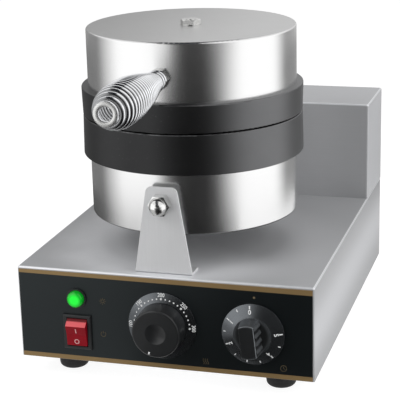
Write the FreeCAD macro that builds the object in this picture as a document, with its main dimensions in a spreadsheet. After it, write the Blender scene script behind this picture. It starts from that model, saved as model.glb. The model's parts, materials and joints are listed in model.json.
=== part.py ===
import FreeCAD, Part
import math
import os
import re

import Sketcher
from FreeCAD import Placement, Rotation, Vector

# Waffle cone maker.  Lengths in millimetres, angles in degrees.  +X is the user's right, +Y points away
# from the user and +Z up; the origin is on the floor, at the middle of the whole outline.
DIMENSIONS = [
    ("origin_setback", 119, "front face of the base to the origin"),
    ("running_fit", 0.05, "radial clearance of a turning or sliding fit"),
    ("loose_fit", 0.25, "clearance of a part in its hole or seat"),
    ("foot_height", 18.5, "rubber foot"),
    ("foot_dia", 28, "rubber foot, upper diameter"),
    ("foot_taper", 1.5, "foot radius lost towards the floor"),
    ("foot_round", 4, "rounding of the foot's lower rim"),
    ("foot_inset_x", 35.5, "foot centre from the side of the base"),
    ("foot_inset_y", 32, "foot centre from the front or rear of the base"),
    ("foot_well_dia", 10.5, "well for the screw head"),
    ("foot_well_depth", 9, "depth of that well"),
    ("base_width", 260, "base housing"),
    ("base_depth", 338, "base housing"),
    ("base_height", 82.5, "base housing"),
    ("sheet_gauge", 1.2, "folded steel sheet"),
    ("bend_radius", 1.8, "outer radius of a fold"),
    ("flange_width", 14, "inner flanges that take the cover screws"),
    ("screw_dia", 4, "cover and foot screws"),
    ("screw_head_dia", 8, "pan head"),
    ("screw_head_height", 2.6, "pan head"),
    ("screw_reach", 7, "screw length past its seat"),
    ("small_nut_flats", 7, "nut of a foot screw"),
    ("small_nut_height", 3.2, "nut of a foot screw"),
    ("vent_length", 42, "vent slot"),
    ("vent_width", 5, "vent slot"),
    ("vent_pitch", 14, "vent slots side by side"),
    ("fascia_gauge", 0.6, "printed fascia"),
    ("fascia_side_margin", 1.5, "steel left bare at each side"),
    ("fascia_top_margin", 2.2, "steel left bare above"),
    ("fascia_bottom_margin", 0.4, "steel left bare below"),
    ("tower_depth", 79.5, "rear tower"),
    ("tower_above_pivot", 32.6, "tower top above the drum's pivot line"),
    ("tower_screw_inset", 18, "cover screws from the tower's ends"),
    ("grommet_x", 48, "grommet beside the tube"),
    ("grommet_drop", 16, "grommet below the tower top"),
    ("grommet_dia", 20, "flange of a grommet"),
    ("grommet_neck_dia", 15, "neck of a grommet"),
    ("grommet_bore_dia", 10, "bore of a grommet"),
    ("grommet_flange", 2, "thickness of a grommet's flange"),
    ("wire_way_width", 44, "opening from tower to base"),
    ("wire_way_depth", 30, "opening from tower to base"),
    ("bracket_setback", 6.7, "front bracket behind the front face"),
    ("bracket_gauge", 2, "bracket sheet"),
    ("bracket_foot_width", 49.5, "bracket at the deck"),
    ("bracket_top_width", 26, "bracket at its top"),
    ("bracket_head", 14.1, "bracket above the pivot line"),
    ("bracket_corner", 5, "rounding of the top corners"),
    ("bracket_flange", 18, "foot flange"),
    ("bracket_screw_pitch", 32, "two screws of the foot flange"),
    ("pivot_rise", 29.4, "pivot line above the can's floor"),
    ("pivot_bolt_dia", 10, "pivot bolt"),
    ("pivot_head_dia", 20, "head of the pivot bolt"),
    ("pivot_head_height", 6, "head of the pivot bolt"),
    ("pivot_spacer_length", 5.3, "spacer from bracket to can"),
    ("pivot_spacer_dia", 20, "spacer"),
    ("acorn_flats", 16.4, "acorn nut"),
    ("acorn_hex_height", 9, "acorn nut"),
    ("acorn_dome_dia", 14.8, "acorn nut"),
    ("trunnion_dia", 20, "rear tube"),
    ("trunnion_bore", 15, "rear tube"),
    ("trunnion_collar_dia", 30, "collars of the rear tube"),
    ("trunnion_collar", 3, "collars of the rear tube"),
    ("trunnion_nut_flats", 26, "nuts of the rear tube"),
    ("trunnion_nut_height", 5, "nuts of the rear tube"),
    ("drum_clearance", 32, "lower can above the deck"),
    ("can_dia", 182, "steel cans"),
    ("can_gauge", 1, "steel cans"),
    ("can_corner", 1.6, "rounding of a can's closed end"),
    ("lower_can_height", 53, "lower can"),
    ("upper_can_height", 50, "upper can"),
    ("lower_plate_height", 34.4, "rim of the lower casting"),
    ("upper_plate_height", 24.2, "rim of the upper casting"),
    ("plate_gap", 0.8, "castings apart when the lid is down"),
    ("rim_step", 5.8, "casting radius beyond the can"),
    ("rim_draft", 0.7, "casting radius lost towards the baking face"),
    ("rim_round", 1, "rounding of the castings' edges"),
    ("rim_wall", 12, "wall of the casting"),
    ("rim_land", 11, "flat ring around the baking field"),
    ("field_recess", 1.2, "baking field below that ring"),
    ("groove_pitch", 12, "waffle grooves"),
    ("groove_width", 2.4, "waffle grooves"),
    ("groove_depth", 1, "waffle grooves"),
    ("disc_thickness", 13, "casting over the heater"),
    ("spigot_height", 4, "casting inside the can's edge"),
    ("boss_dia", 18, "boss for the centre stud"),
    ("boss_height", 6, "boss for the centre stud"),
    ("stud_bore_depth", 11, "thread in the boss"),
    ("hinge_offset", 12, "hinge pin behind the castings"),
    ("hinge_pin_dia", 8, "hinge pin"),
    ("hinge_boss_dia", 18, "hinge lugs"),
    ("hinge_lug_height", 14, "hinge lugs at the casting"),
    ("lid_lug_width", 53, "middle lug, on the lid"),
    ("hinge_side_gap", 0.5, "between the lugs"),
    ("side_lug_width", 14, "outer lugs, on the lower casting"),
    ("clip_dia", 14, "clips of the hinge pin"),
    ("clip_gauge", 1.5, "clips of the hinge pin"),
    ("pin_overhang", 4, "hinge pin beyond the lugs"),
    ("heater_tube_dia", 8, "heater"),
    ("heater_inset", 29, "heater ring inside the can's radius"),
    ("heater_gap_angle", 16, "half of the ring's open angle"),
    ("heater_bend", 8, "bend into the heater's legs"),
    ("heater_leg", 14, "straight end of a leg"),
    ("clamp_gauge", 2, "heater clamp"),
    ("clamp_clearance", 9, "clamp inside the casting's wall"),
    ("stud_dia", 8, "centre studs"),
    ("stud_nut_flats", 16, "nuts of the centre studs"),
    ("stud_nut_height", 3.6, "nuts of the centre studs"),
    ("stud_washer_dia", 18, "washers of the centre studs"),
    ("stud_washer", 0.8, "washers of the centre studs"),
    ("stud_overhang", 0.4, "stud beyond its nut"),
    ("bulb_dia", 6, "thermostat bulb"),
    ("bulb_length", 50, "thermostat bulb"),
    ("bulb_offset", 30, "bulb behind the drum's middle"),
    ("capillary_dia", 2, "capillary tube"),
    ("capillary_bend", 10, "bends of the capillary tube"),
    ("capillary_drop_x", 40, "capillary through the clamp"),
    ("handle_rise", 20.85, "handle above the upper casting"),
    ("handle_stud_dia", 8, "handle stud"),
    ("handle_nut_flats", 15, "handle nuts"),
    ("handle_nut_height", 7, "handle nuts"),
    ("handle_stud_reach", 16, "stud inside the coil"),
    ("handle_wire", 4.6, "wire of the coil"),
    ("handle_wire_gap", 0.55, "between two turns"),
    ("handle_turns", 23, "turns of the coil"),
    ("handle_neck_turns", 2.2, "turns that hold the stud"),
    ("handle_barrel_dia", 35.4, "coil at its widest"),
    ("handle_barrel_place", 0.71, "widest turn, as a part of the length"),
    ("handle_end_dia", 19.8, "last turn"),
    ("switch_inset", 53.5, "switch and indicator from the left side"),
    ("switch_rise", 27, "switch above the base's lower edge"),
    ("switch_bezel_width", 25.4, "switch bezel"),
    ("switch_bezel_height", 31.2, "switch bezel"),
    ("switch_bezel_depth", 2.2, "switch bezel"),
    ("switch_case_width", 21.8, "switch case"),
    ("switch_case_height", 28.2, "switch case"),
    ("switch_case_depth", 26, "switch case"),
    ("switch_window_width", 18.8, "opening for the rocker"),
    ("switch_window_height", 26, "opening for the rocker"),
    ("switch_well_depth", 12, "opening for the rocker"),
    ("rocker_head", 8.4, "rocker's front, middle to upper edge"),
    ("rocker_foot", 10.4, "rocker's front, middle to lower edge"),
    ("rocker_crown", 7.9, "rocker's front edges above its pivot"),
    ("rocker_dip", 6.9, "rocker's middle above its pivot"),
    ("rocker_tilt", 11, "rocker's rest, upper end out"),
    ("rocker_pivot_depth", 2, "rocker pivot behind the fascia"),
    ("rocker_pin_dia", 3, "rocker pivot"),
    ("rocker_side_gap", 0.4, "rocker in its opening"),
    ("indicator_drop", 25, "indicator below the deck"),
    ("indicator_body_dia", 12, "indicator body"),
    ("indicator_body_length", 26, "indicator body"),
    ("indicator_bezel_dia", 17.6, "indicator bezel"),
    ("indicator_lens_dia", 14.4, "indicator lens"),
    ("indicator_lens_height", 5.4, "indicator lens"),
    ("indicator_seat", 0.8, "bezel under the lens"),
    ("dial_drop", 2.1, "dials below the middle of the base"),
    ("bush_dia", 10, "threaded bush of thermostat and timer"),
    ("bush_overhang", 1, "bush beyond its ring nut"),
    ("ring_nut_flats", 14, "ring nuts"),
    ("ring_nut_height", 2.5, "ring nuts"),
    ("shaft_dia", 6, "knob shafts"),
    ("shaft_depth", 12, "shaft inside its case"),
    ("case_width", 46, "thermostat and timer cases"),
    ("case_height", 38, "thermostat and timer cases"),
    ("case_depth", 32, "thermostat and timer cases"),
    ("dial_dia", 59.6, "thermostat dial plate"),
    ("dial_edge", 1.2, "dial plate at its rim"),
    ("dial_height", 3.2, "dial plate at the knob"),
    ("knob_gap", 0.7, "knobs off what lies behind them"),
    ("thermostat_knob_dia", 43, "thermostat knob"),
    ("thermostat_knob_front", 21, "thermostat knob off the fascia"),
    ("thermostat_knob_draft", 0.8, "knob radius lost towards the front"),
    ("knob_wall", 4, "knob wall"),
    ("knob_face", 5.5, "knob front"),
    ("knob_dish_dia", 18, "hollow in the knob front"),
    ("knob_dish", 2, "hollow in the knob front"),
    ("knob_round", 1.6, "rounding of the knob front"),
    ("hub_dia", 13, "hub inside a knob"),
    ("timer_inset", 51, "timer from the right side"),
    ("timer_rest", 6, "timer knob at rest, turned past zero"),
    ("timer_skirt_dia", 53.4, "skirt of the timer knob"),
    ("timer_skirt_edge", 2, "skirt at its rim"),
    ("timer_cone_dia", 31.6, "skirt at the grip"),
    ("timer_cone_height", 7, "skirt front off the fascia"),
    ("timer_grip_width", 12.6, "grip at its front"),
    ("timer_grip_length", 29, "grip at its front"),
    ("timer_grip_round", 0.6, "edges of the grip's front"),
    ("timer_grip_front", 22.5, "grip front off the fascia"),
    ("timer_grip_taper", 5, "draft of the grip's sides"),
    ("gland_inset", 45, "cable gland from the left side"),
    ("gland_rise", 38, "gland above the base's lower edge"),
    ("gland_thread_dia", 16, "gland thread"),
    ("gland_flats", 22, "gland hexagon"),
    ("gland_hex", 6, "gland hexagon"),
    ("gland_cap_dia", 19, "gland cap"),
    ("gland_length", 17, "gland behind the base"),
    ("gland_inside", 9, "gland inside the base"),
    ("gland_bore", 8, "cable bore"),
    ("gland_nut_height", 4, "gland nut"),
    ("terminal_width", 50, "terminal block"),
    ("terminal_depth", 20, "terminal block"),
    ("terminal_height", 18, "terminal block"),
    ("terminal_pitch", 12, "terminals side by side"),
    ("terminal_inset", 120, "terminal block from the rear"),
    ("lead_tab_width", 6.3, "push-on tabs"),
    ("lead_tab_gauge", 0.8, "push-on tabs"),
    ("lead_tab_length", 8, "push-on tabs"),
]

FRONT = "(-origin_setback)"
PANEL = f"({FRONT} - fascia_gauge)"
REAR = f"({FRONT} + base_depth)"
FLOOR_PLATE = "foot_height"
DECK = "(foot_height + base_height)"
BRACKET_Y = f"({FRONT} + bracket_setback)"
CAN_FRONT = f"({BRACKET_Y} + bracket_gauge + pivot_spacer_length)"
DRUM_Y = f"({CAN_FRONT} + can_dia / 2)"
CAN_REAR = f"({DRUM_Y} + can_dia / 2)"
TOWER_Y = f"({REAR} - tower_depth)"
PIVOT_ABOVE_DECK = "(drum_clearance + pivot_rise)"
PIVOT_Z = f"({DECK} + {PIVOT_ABOVE_DECK})"
TOWER_HEIGHT = f"({PIVOT_ABOVE_DECK} + tower_above_pivot)"
LOWER_CAN_Z = f"({DECK} + drum_clearance)"
LOWER_RIM_Z = f"({LOWER_CAN_Z} + lower_can_height)"
LOWER_FACE_Z = f"({LOWER_RIM_Z} + lower_plate_height)"
UPPER_FACE_Z = f"({LOWER_FACE_Z} + plate_gap)"
UPPER_RIM_Z = f"({UPPER_FACE_Z} + upper_plate_height)"
HANDLE_Z = f"({UPPER_RIM_Z} + handle_rise)"
RIM_RADIUS = "(can_dia / 2 + rim_step)"
CAN_INSIDE = "(can_dia / 2 - can_gauge)"
CAVITY_RADIUS = f"({RIM_RADIUS} - rim_wall)"
FIELD_RADIUS = f"({RIM_RADIUS} - rim_land)"
HINGE_REACH = f"({RIM_RADIUS} + hinge_offset)"
SIDE_LUG_X = "(lid_lug_width / 2 + hinge_side_gap)"
HINGE_END = f"({SIDE_LUG_X} + side_lug_width)"
HEATER_RADIUS = "(can_dia / 2 - heater_inset)"
HEATER_DEPTH = "(disc_thickness + heater_tube_dia / 2 + running_fit)"
CLAMP_DEPTH = "(disc_thickness + heater_tube_dia + 2 * running_fit)"
CLAMP_NUT_DEPTH = f"({CLAMP_DEPTH} + clamp_gauge)"
DIAL_RISE = "(base_height / 2 - dial_drop)"
SWITCH_X = "(switch_inset - base_width / 2)"
TIMER_X = "(base_width / 2 - timer_inset)"
GLAND_X = "(gland_inset - base_width / 2)"
INDICATOR_RISE = "(base_height - indicator_drop)"
SCREW_HOLE = "(screw_dia / 2 + loose_fit)"
BUSH_HOLE = "(bush_dia / 2 + loose_fit)"
SHAFT_HOLE = "(shaft_dia / 2 + running_fit)"
DIAL_FRONT = "(dial_height + ring_nut_height + bush_overhang)"
PANEL_BACK = "(-fascia_gauge - sheet_gauge)"

UPRIGHT = Rotation()
DOWNWARD = Rotation(Vector(1, 0, 0), 180)
TO_USER = Rotation(Vector(1, 0, 0), 90)
TO_REAR = Rotation(Vector(1, 0, 0), -90)
TO_RIGHT = Rotation(Vector(0, 1, 0), 90)

doc = FreeCAD.newDocument("waffle_cone_maker")
dims = doc.addObject("Spreadsheet::Sheet", "dims")
for row, (alias, value, meaning) in enumerate(DIMENSIONS, 1):
    dims.set(f"A{row}", meaning)
    dims.set(f"B{row}", str(value))
    dims.setAlias(f"B{row}", alias)
doc.recompute()

ALIAS = re.compile(r"\b(" + "|".join(alias for alias, _, _ in DIMENSIONS) + r")\b")
subparts = []


def sized(expression):
    """The expression with each size looked up in the spreadsheet."""
    return ALIAS.sub(r"dims.\1", expression)


def number(expression):
    """Present value of an expression."""
    return float(dims.evalExpression(sized(expression)))


def bind(thing, path, expression):
    """Ties one property of a thing to an expression of the spreadsheet's sizes."""
    thing.setExpression(path, sized(expression))


def place(thing, x, y, z, rotation=UPRIGHT):
    """Ties the place of a thing to three expressions."""
    thing.Placement = Placement(Vector(number(x), number(y), number(z)), rotation)
    for axis, expression in (("x", x), ("y", y), ("z", z)):
        bind(thing, f"Placement.Base.{axis}", expression)
    return thing


def subpart(thing, label):
    """Names a thing as one of the pieces that are written out."""
    thing.Label = label
    subparts.append(thing)
    return thing


def new_body(label, is_piece=True):
    """An empty body that becomes the piece of that name, or a blank for one."""
    body = doc.addObject("PartDesign::Body", label)
    return subpart(body, label) if is_piece else body


def sketch_on(body, role, offset="0", turn=0):
    """A sketch on one of the body's own planes, moved along its normal and turned in it."""
    sketch = body.newObject("Sketcher::SketchObject", f"{body.Name}_sketch")
    plane = next(item for item in body.Origin.OriginFeatures if item.Role == role)
    sketch.AttachmentSupport = (plane, [""])
    sketch.MapMode = "FlatFace"
    sketch.AttachmentOffset = Placement(Vector(), Rotation(Vector(0, 0, 1), turn))
    bind(sketch, "AttachmentOffset.Base.z", offset)
    return sketch


def hold_point(sketch, geometry, point, u, v):
    """Holds a sketch point at two bound distances from the sketch's origin."""
    for kind, expression in (("DistanceX", u), ("DistanceY", v)):
        index = sketch.addConstraint(Sketcher.Constraint(kind, -1, 1, geometry, point, number(expression)))
        bind(sketch, f"Constraints[{index}]", expression)


def outline(sketch, points):
    """Closed outline of straight lines through points given as pairs of expressions."""
    corners = [Vector(number(u), number(v), 0) for u, v in points]
    first = sketch.GeometryCount
    count = len(corners)
    for index, corner in enumerate(corners):
        sketch.addGeometry(Part.LineSegment(corner, corners[(index + 1) % count]), False)
    for index in range(count):
        follower = first + (index + 1) % count
        sketch.addConstraint(Sketcher.Constraint("Coincident", first + index, 2, follower, 1))
    for index, (u, v) in enumerate(points):
        hold_point(sketch, first + index, 1, u, v)


def rectangle(sketch, left, low, right, high):
    outline(sketch, [(left, low), (right, low), (right, high), (left, high)])


def oblong(sketch, u, v, width, height):
    """Rectangle around a middle."""
    rectangle(sketch, f"{u} - {width} / 2", f"{v} - {height} / 2", f"{u} + {width} / 2", f"{v} + {height} / 2")


def circle(sketch, u, v, radius):
    middle = Vector(number(u), number(v), 0)
    index = sketch.addGeometry(Part.Circle(middle, Vector(0, 0, 1), number(radius)), False)
    hold_point(sketch, index, 3, u, v)
    radius_index = sketch.addConstraint(Sketcher.Constraint("Radius", index, number(radius)))
    bind(sketch, f"Constraints[{radius_index}]", radius)


def feature(body, kind, sketch, length, flip=False, taper=0):
    """Pad or pocket of a sketch; a pocket goes against the sketch's normal unless flipped."""
    made = body.newObject(f"PartDesign::{kind}", f"{body.Name}_{kind.lower()}")
    made.Profile = sketch
    bind(made, "Length", length)
    made.Reversed = flip
    if taper:
        bind(made, "TaperAngle", taper)
    return made


def pad(body, sketch, length, flip=False):
    return feature(body, "Pad", sketch, length, flip)


def pocket(body, sketch, length, flip=False, taper=0):
    return feature(body, "Pocket", sketch, length, flip, taper)


def edges_where(shape, test):
    return [f"Edge{index}" for index, edge in enumerate(shape.Edges, 1) if test(edge)]


def soften(body, test, radius):
    """Rounds the edges of the body's last feature that pass a test."""
    doc.recompute()
    last = body.Tip
    rounded = body.newObject("PartDesign::Fillet", f"{body.Name}_fillet")
    rounded.Base = (last, edges_where(last.Shape, test))
    bind(rounded, "Radius", radius)
    return rounded


def soften_rim(body, radius, height, rounding):
    """Rounds the round edge of that radius at that height of a turned body."""
    r, z = number(radius), number(height)

    def is_rim(edge):
        box = edge.BoundBox
        return abs(box.XMax - r) < 1e-4 and abs(box.ZMin - z) < 1e-4 and abs(box.ZMax - z) < 1e-4

    return soften(body, is_rim, rounding)


def hollow(body, test, gauge):
    """Leaves a wall of one gauge, open at the faces that pass a test."""
    doc.recompute()
    last = body.Tip
    faces = [f"Face{index}" for index, face in enumerate(last.Shape.Faces, 1) if test(face.BoundBox)]
    shell = body.newObject("PartDesign::Thickness", f"{body.Name}_shell")
    shell.Base = (last, faces)
    bind(shell, "Value", gauge)
    shell.Reversed = True
    return shell


def turned(label, profile, x, y, z, rotation=UPRIGHT, is_piece=True):
    """Piece turned about its own upright axis, from an outline of radius and height."""
    body = new_body(label, is_piece)
    sketch = sketch_on(body, "XZ_Plane")
    outline(sketch, profile)
    revolution = body.newObject("PartDesign::Revolution", f"{label}_revolution")
    revolution.Profile = sketch
    revolution.ReferenceAxis = (sketch, ["V_Axis"])
    revolution.Angle = 360
    return place(body, x, y, z, rotation)


def solid_rod(radius, low, high):
    """Outline of a plain rod for turned()."""
    return [("0", low), (radius, low), (radius, high), ("0", high)]


def ring(inner, outer, low, high):
    """Outline of a ring or tube for turned()."""
    return [(inner, low), (outer, low), (outer, high), (inner, high)]


def primitive(kind, name, sizes, x="0", y="0", z="0", rotation=UPRIGHT):
    """A plain primitive with its sizes and place bound."""
    made = doc.addObject(f"Part::{kind}", name)
    for path, expression in sizes.items():
        bind(made, path, expression)
    return place(made, x, y, z, rotation)


def fused(name, shapes):
    made = doc.addObject("Part::MultiFuse", name)
    made.Shapes = shapes
    return made


def cut(name, base, tool):
    made = doc.addObject("Part::Cut", name)
    made.Base = base
    made.Tool = tool
    return made


def hexagon(name, flats, height):
    """Upright hexagonal prism whose upper corners are turned off."""
    prism = primitive("Prism", f"{name}_prism", {"Circumradius": f"{flats} / sqrt(3)", "Height": height})
    prism.Polygon = 6
    sizes = {"Radius1": f"{flats} * 0.49 + {height} * sqrt(3)", "Radius2": f"{flats} * 0.49", "Height": height}
    cone = primitive("Cone", f"{name}_cone", sizes)
    made = doc.addObject("Part::Common", f"{name}_hexagon")
    made.Base = prism
    made.Tool = cone
    return made


def nut(name, flats, height, bore, spot):
    """Hexagonal nut, its turned side along its own +Z, at a spot of three expressions and a rotation."""
    hole = primitive("Cylinder", f"{name}_hole", {"Radius": bore, "Height": f"{height} + 2"}, z="-1")
    return place(cut(f"{name}_cut", hexagon(name, flats, height), hole), *spot)


def hex_nut(label, flats, height, bore, *spot):
    return subpart(nut(label, flats, height, bore, spot), label)


def nut_group(label, flats, height, bore, spots):
    """Equal nuts that share one piece."""
    group = doc.addObject("Part::Compound", label)
    group.Links = [nut(f"{label}_{index}", flats, height, bore, spot) for index, spot in enumerate(spots)]
    return subpart(group, label)


def screw_group(label, spots, reach, x, y, z, rotation=UPRIGHT):
    """Equal pan-head screws, heads along their own +Z from the seat."""
    body = new_body(label)
    heads = sketch_on(body, "XY_Plane")
    shanks = sketch_on(body, "XY_Plane")
    for u, v in spots:
        circle(heads, u, v, "screw_head_dia / 2")
        circle(shanks, u, v, "screw_dia / 2")
    pad(body, heads, "screw_head_height")
    top = number("screw_head_height")
    soften(body, lambda edge: abs(edge.BoundBox.ZMin - top) < 1e-4, "screw_head_height * 0.6")
    pad(body, shanks, reach, flip=True)
    return place(body, x, y, z, rotation)


def corners(half_width, half_height, v="0"):
    """Four spots around a middle."""
    return [(f"{a}{half_width}", f"{v} {b} {half_height}") for a in ("-", "+") for b in ("-", "+")]


def panel_cutouts(sketch):
    """Openings for the controls, the same in fascia and housing."""
    oblong(sketch, SWITCH_X, "switch_rise", "(switch_case_width + 2 * loose_fit)",
           "(switch_case_height + 2 * loose_fit)")
    circle(sketch, SWITCH_X, INDICATOR_RISE, "indicator_body_dia / 2 + loose_fit")
    circle(sketch, "0", DIAL_RISE, BUSH_HOLE)
    circle(sketch, TIMER_X, DIAL_RISE, BUSH_HOLE)


# Base housing, its bottom plate and the feet
FEET_X = "(base_width / 2 - foot_inset_x)"
FLANGE_X = "(base_width / 2 - flange_width / 2 - sheet_gauge)"
FOOT_SPOTS = {
    "front_left": (f"-{FEET_X}", "foot_inset_y"),
    "front_right": (FEET_X, "foot_inset_y"),
    "rear_left": (f"-{FEET_X}", "base_depth - foot_inset_y"),
    "rear_right": (FEET_X, "base_depth - foot_inset_y"),
}
PLATE_SCREW_Y = ["2 * flange_width", "base_depth / 2", "base_depth - 2 * flange_width"]
PLATE_SPOTS = [(f"{side}{FLANGE_X}", y) for side in ("-", "+") for y in PLATE_SCREW_Y]
BRACKET_SPOTS = [(f"{side}bracket_screw_pitch / 2", "bracket_flange / 2 + 2") for side in ("-", "+")]

housing = new_body("base_housing")
block = sketch_on(housing, "XY_Plane")
rectangle(block, "-base_width / 2", "0", "base_width / 2", "base_depth")
pad(housing, block, "base_height")
soften(housing, lambda edge: edge.BoundBox.ZMax > 1, "bend_radius")
hollow(housing, lambda box: box.ZMax < 0.01, "sheet_gauge")
flanges = sketch_on(housing, "XY_Plane", "sheet_gauge")
for side in ("-", ""):
    wall, edge_x = f"{side}(base_width / 2 - sheet_gauge / 2)", f"{side}(base_width / 2 - flange_width)"
    rectangle(flanges, *((wall, "flange_width", edge_x) if side else (edge_x, "flange_width", wall)),
              "base_depth - flange_width")
pad(housing, flanges, "sheet_gauge")
flange_holes = sketch_on(housing, "XY_Plane", "3 * sheet_gauge")
for u, v in PLATE_SPOTS:
    circle(flange_holes, u, v, SCREW_HOLE)
pocket(housing, flange_holes, "3 * sheet_gauge")
front_holes = sketch_on(housing, "XZ_Plane")
panel_cutouts(front_holes)
pocket(housing, front_holes, "2 * sheet_gauge")
deck_holes = sketch_on(housing, "XY_Plane", "base_height")
for u, v in BRACKET_SPOTS:
    circle(deck_holes, u, f"bracket_setback + {v}", SCREW_HOLE)
oblong(deck_holes, "0", "(base_depth - tower_depth / 2)", "wire_way_width", "wire_way_depth")
pocket(housing, deck_holes, "2 * sheet_gauge")
rear_hole = sketch_on(housing, "XZ_Plane", "2 * sheet_gauge - base_depth")
circle(rear_hole, GLAND_X, "gland_rise", "gland_thread_dia / 2 + loose_fit")
pocket(housing, rear_hole, "4 * sheet_gauge")
place(housing, "0", FRONT, FLOOR_PLATE)

bottom = new_body("bottom_plate")
bottom_outline = sketch_on(bottom, "XY_Plane")
bottom_edge = "(base_width / 2 - sheet_gauge - loose_fit)"
rectangle(bottom_outline, f"-{bottom_edge}", "sheet_gauge + loose_fit", bottom_edge,
          "base_depth - sheet_gauge - loose_fit")
for u, v in list(FOOT_SPOTS.values()) + PLATE_SPOTS:
    circle(bottom_outline, u, v, SCREW_HOLE)
for index in range(-3, 4):
    oblong(bottom_outline, f"{index} * vent_pitch", "base_depth / 2", "vent_width", "vent_length")
pad(bottom, bottom_outline, "sheet_gauge")
place(bottom, "0", FRONT, FLOOR_PLATE)
screw_group("bottom_plate_screws", [(u, f"-({v})") for u, v in PLATE_SPOTS], "screw_reach",
            "0", FRONT, FLOOR_PLATE, DOWNWARD)

for name, (u, v) in FOOT_SPOTS.items():
    foot = turned(f"foot_{name}", [
        ("foot_well_dia / 2", "0"), ("foot_dia / 2 - foot_taper", "0"), ("foot_dia / 2", "foot_height"),
        (SCREW_HOLE, "foot_height"), (SCREW_HOLE, "foot_well_depth"), ("foot_well_dia / 2", "foot_well_depth"),
    ], u, f"{FRONT} + {v}", "0")
    soften_rim(foot, "foot_dia / 2 - foot_taper", "0", "foot_round")
screw_group("foot_screws", [(u, f"-({v})") for u, v in FOOT_SPOTS.values()],
            "foot_height - foot_well_depth + sheet_gauge + screw_reach", "0", FRONT, "foot_well_depth", DOWNWARD)
nut_group("foot_nuts", "small_nut_flats", "small_nut_height", "screw_dia / 2 + running_fit",
          [(u, f"{FRONT} + {v}", f"{FLOOR_PLATE} + sheet_gauge") for u, v in FOOT_SPOTS.values()])

fascia = new_body("control_fascia")
fascia_outline = sketch_on(fascia, "XZ_Plane")
fascia_edge = "(base_width / 2 - fascia_side_margin)"
rectangle(fascia_outline, f"-{fascia_edge}", "fascia_bottom_margin", fascia_edge,
          "base_height - fascia_top_margin")
panel_cutouts(fascia_outline)
pad(fascia, fascia_outline, "fascia_gauge")
place(fascia, "0", FRONT, FLOOR_PLATE)

# Rear tower
tower_depth = number("tower_depth")
tower = new_body("tower_housing")
tower_block = sketch_on(tower, "XY_Plane")
rectangle(tower_block, "-base_width / 2", "0", "base_width / 2", "tower_depth")
pad(tower, tower_block, TOWER_HEIGHT)
soften(tower, lambda edge: edge.BoundBox.ZMax > 1 and edge.BoundBox.YMin < tower_depth - 1, "bend_radius")
hollow(tower, lambda box: box.ZMax < 0.01 or box.YMin > tower_depth - 0.01, "sheet_gauge")
tower_flanges = sketch_on(tower, "XZ_Plane", "2 * sheet_gauge - tower_depth")
for side in ("-", ""):
    wall, edge_x = f"{side}(base_width / 2 - sheet_gauge / 2)", f"{side}(base_width / 2 - flange_width)"
    rectangle(tower_flanges, *((wall, "sheet_gauge", edge_x) if side else (edge_x, "sheet_gauge", wall)),
              f"{TOWER_HEIGHT} - 2 * sheet_gauge")
pad(tower, tower_flanges, "sheet_gauge", flip=True)
COVER_SPOTS = [(f"{side}{FLANGE_X}", z) for side in ("-", "+")
               for z in ("tower_screw_inset", f"{TOWER_HEIGHT} - tower_screw_inset")]
tower_flange_holes = sketch_on(tower, "XZ_Plane", "3 * sheet_gauge - tower_depth")
for u, v in COVER_SPOTS:
    circle(tower_flange_holes, u, v, SCREW_HOLE)
pocket(tower, tower_flange_holes, "4 * sheet_gauge")
tower_front = sketch_on(tower, "XZ_Plane")
circle(tower_front, "0", PIVOT_ABOVE_DECK, "trunnion_dia / 2 + loose_fit")
circle(tower_front, "grommet_x", f"{TOWER_HEIGHT} - grommet_drop", "grommet_neck_dia / 2 + running_fit")
pocket(tower, tower_front, "2 * sheet_gauge")
place(tower, "0", TOWER_Y, DECK)

cover = new_body("tower_rear_cover")
cover_outline = sketch_on(cover, "XZ_Plane")
cover_edge = "(base_width / 2 - sheet_gauge - loose_fit)"
rectangle(cover_outline, f"-{cover_edge}", "loose_fit", cover_edge, f"{TOWER_HEIGHT} - sheet_gauge - loose_fit")
for u, v in COVER_SPOTS:
    circle(cover_outline, u, v, SCREW_HOLE)
for index in range(-4, 5):
    oblong(cover_outline, f"{index} * vent_pitch", f"{TOWER_HEIGHT} / 2", "vent_width", "vent_length")
pad(cover, cover_outline, "sheet_gauge")
place(cover, "0", REAR, DECK)
screw_group("tower_cover_screws", [(u, f"-({v})") for u, v in COVER_SPOTS], "screw_reach", "0", REAR, DECK, TO_REAR)


def grommet(label, wall_front, wall_back, x, y, z, rotation):
    """Rubber grommet whose neck fills the hole of a wall between two heights of its own axis."""
    bore, neck, flange = "grommet_bore_dia / 2", "grommet_neck_dia / 2", "grommet_dia / 2"
    outer, inner = f"{wall_front} + grommet_flange", f"{wall_back} - grommet_flange"
    turned(label, [
        (bore, inner), (flange, inner), (flange, wall_back), (neck, wall_back), (neck, wall_front),
        (flange, wall_front), (flange, outer), (bore, outer),
    ], x, y, z, rotation)


grommet("tower_grommet", "0", "-sheet_gauge", "grommet_x", TOWER_Y, f"{DECK} + {TOWER_HEIGHT} - grommet_drop", TO_USER)

# Front bracket and the two mounts of the drum
bracket_top = number(f"{PIVOT_ABOVE_DECK} + bracket_head")
bracket = new_body("front_bracket")
bracket_face = sketch_on(bracket, "XZ_Plane")
outline(bracket_face, [
    ("-bracket_foot_width / 2", "0"), ("bracket_foot_width / 2", "0"),
    ("bracket_foot_width / 2", "bracket_gauge"), ("bracket_top_width / 2", f"{PIVOT_ABOVE_DECK} + bracket_head"),
    ("-bracket_top_width / 2", f"{PIVOT_ABOVE_DECK} + bracket_head"), ("-bracket_foot_width / 2", "bracket_gauge"),
])
circle(bracket_face, "0", PIVOT_ABOVE_DECK, "pivot_bolt_dia / 2 + loose_fit")
pad(bracket, bracket_face, "bracket_gauge", flip=True)
soften(bracket, lambda edge: edge.BoundBox.ZMin > bracket_top - 0.01 and edge.BoundBox.XLength < 0.01,
       "bracket_corner")
bracket_foot = sketch_on(bracket, "XY_Plane")
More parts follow.
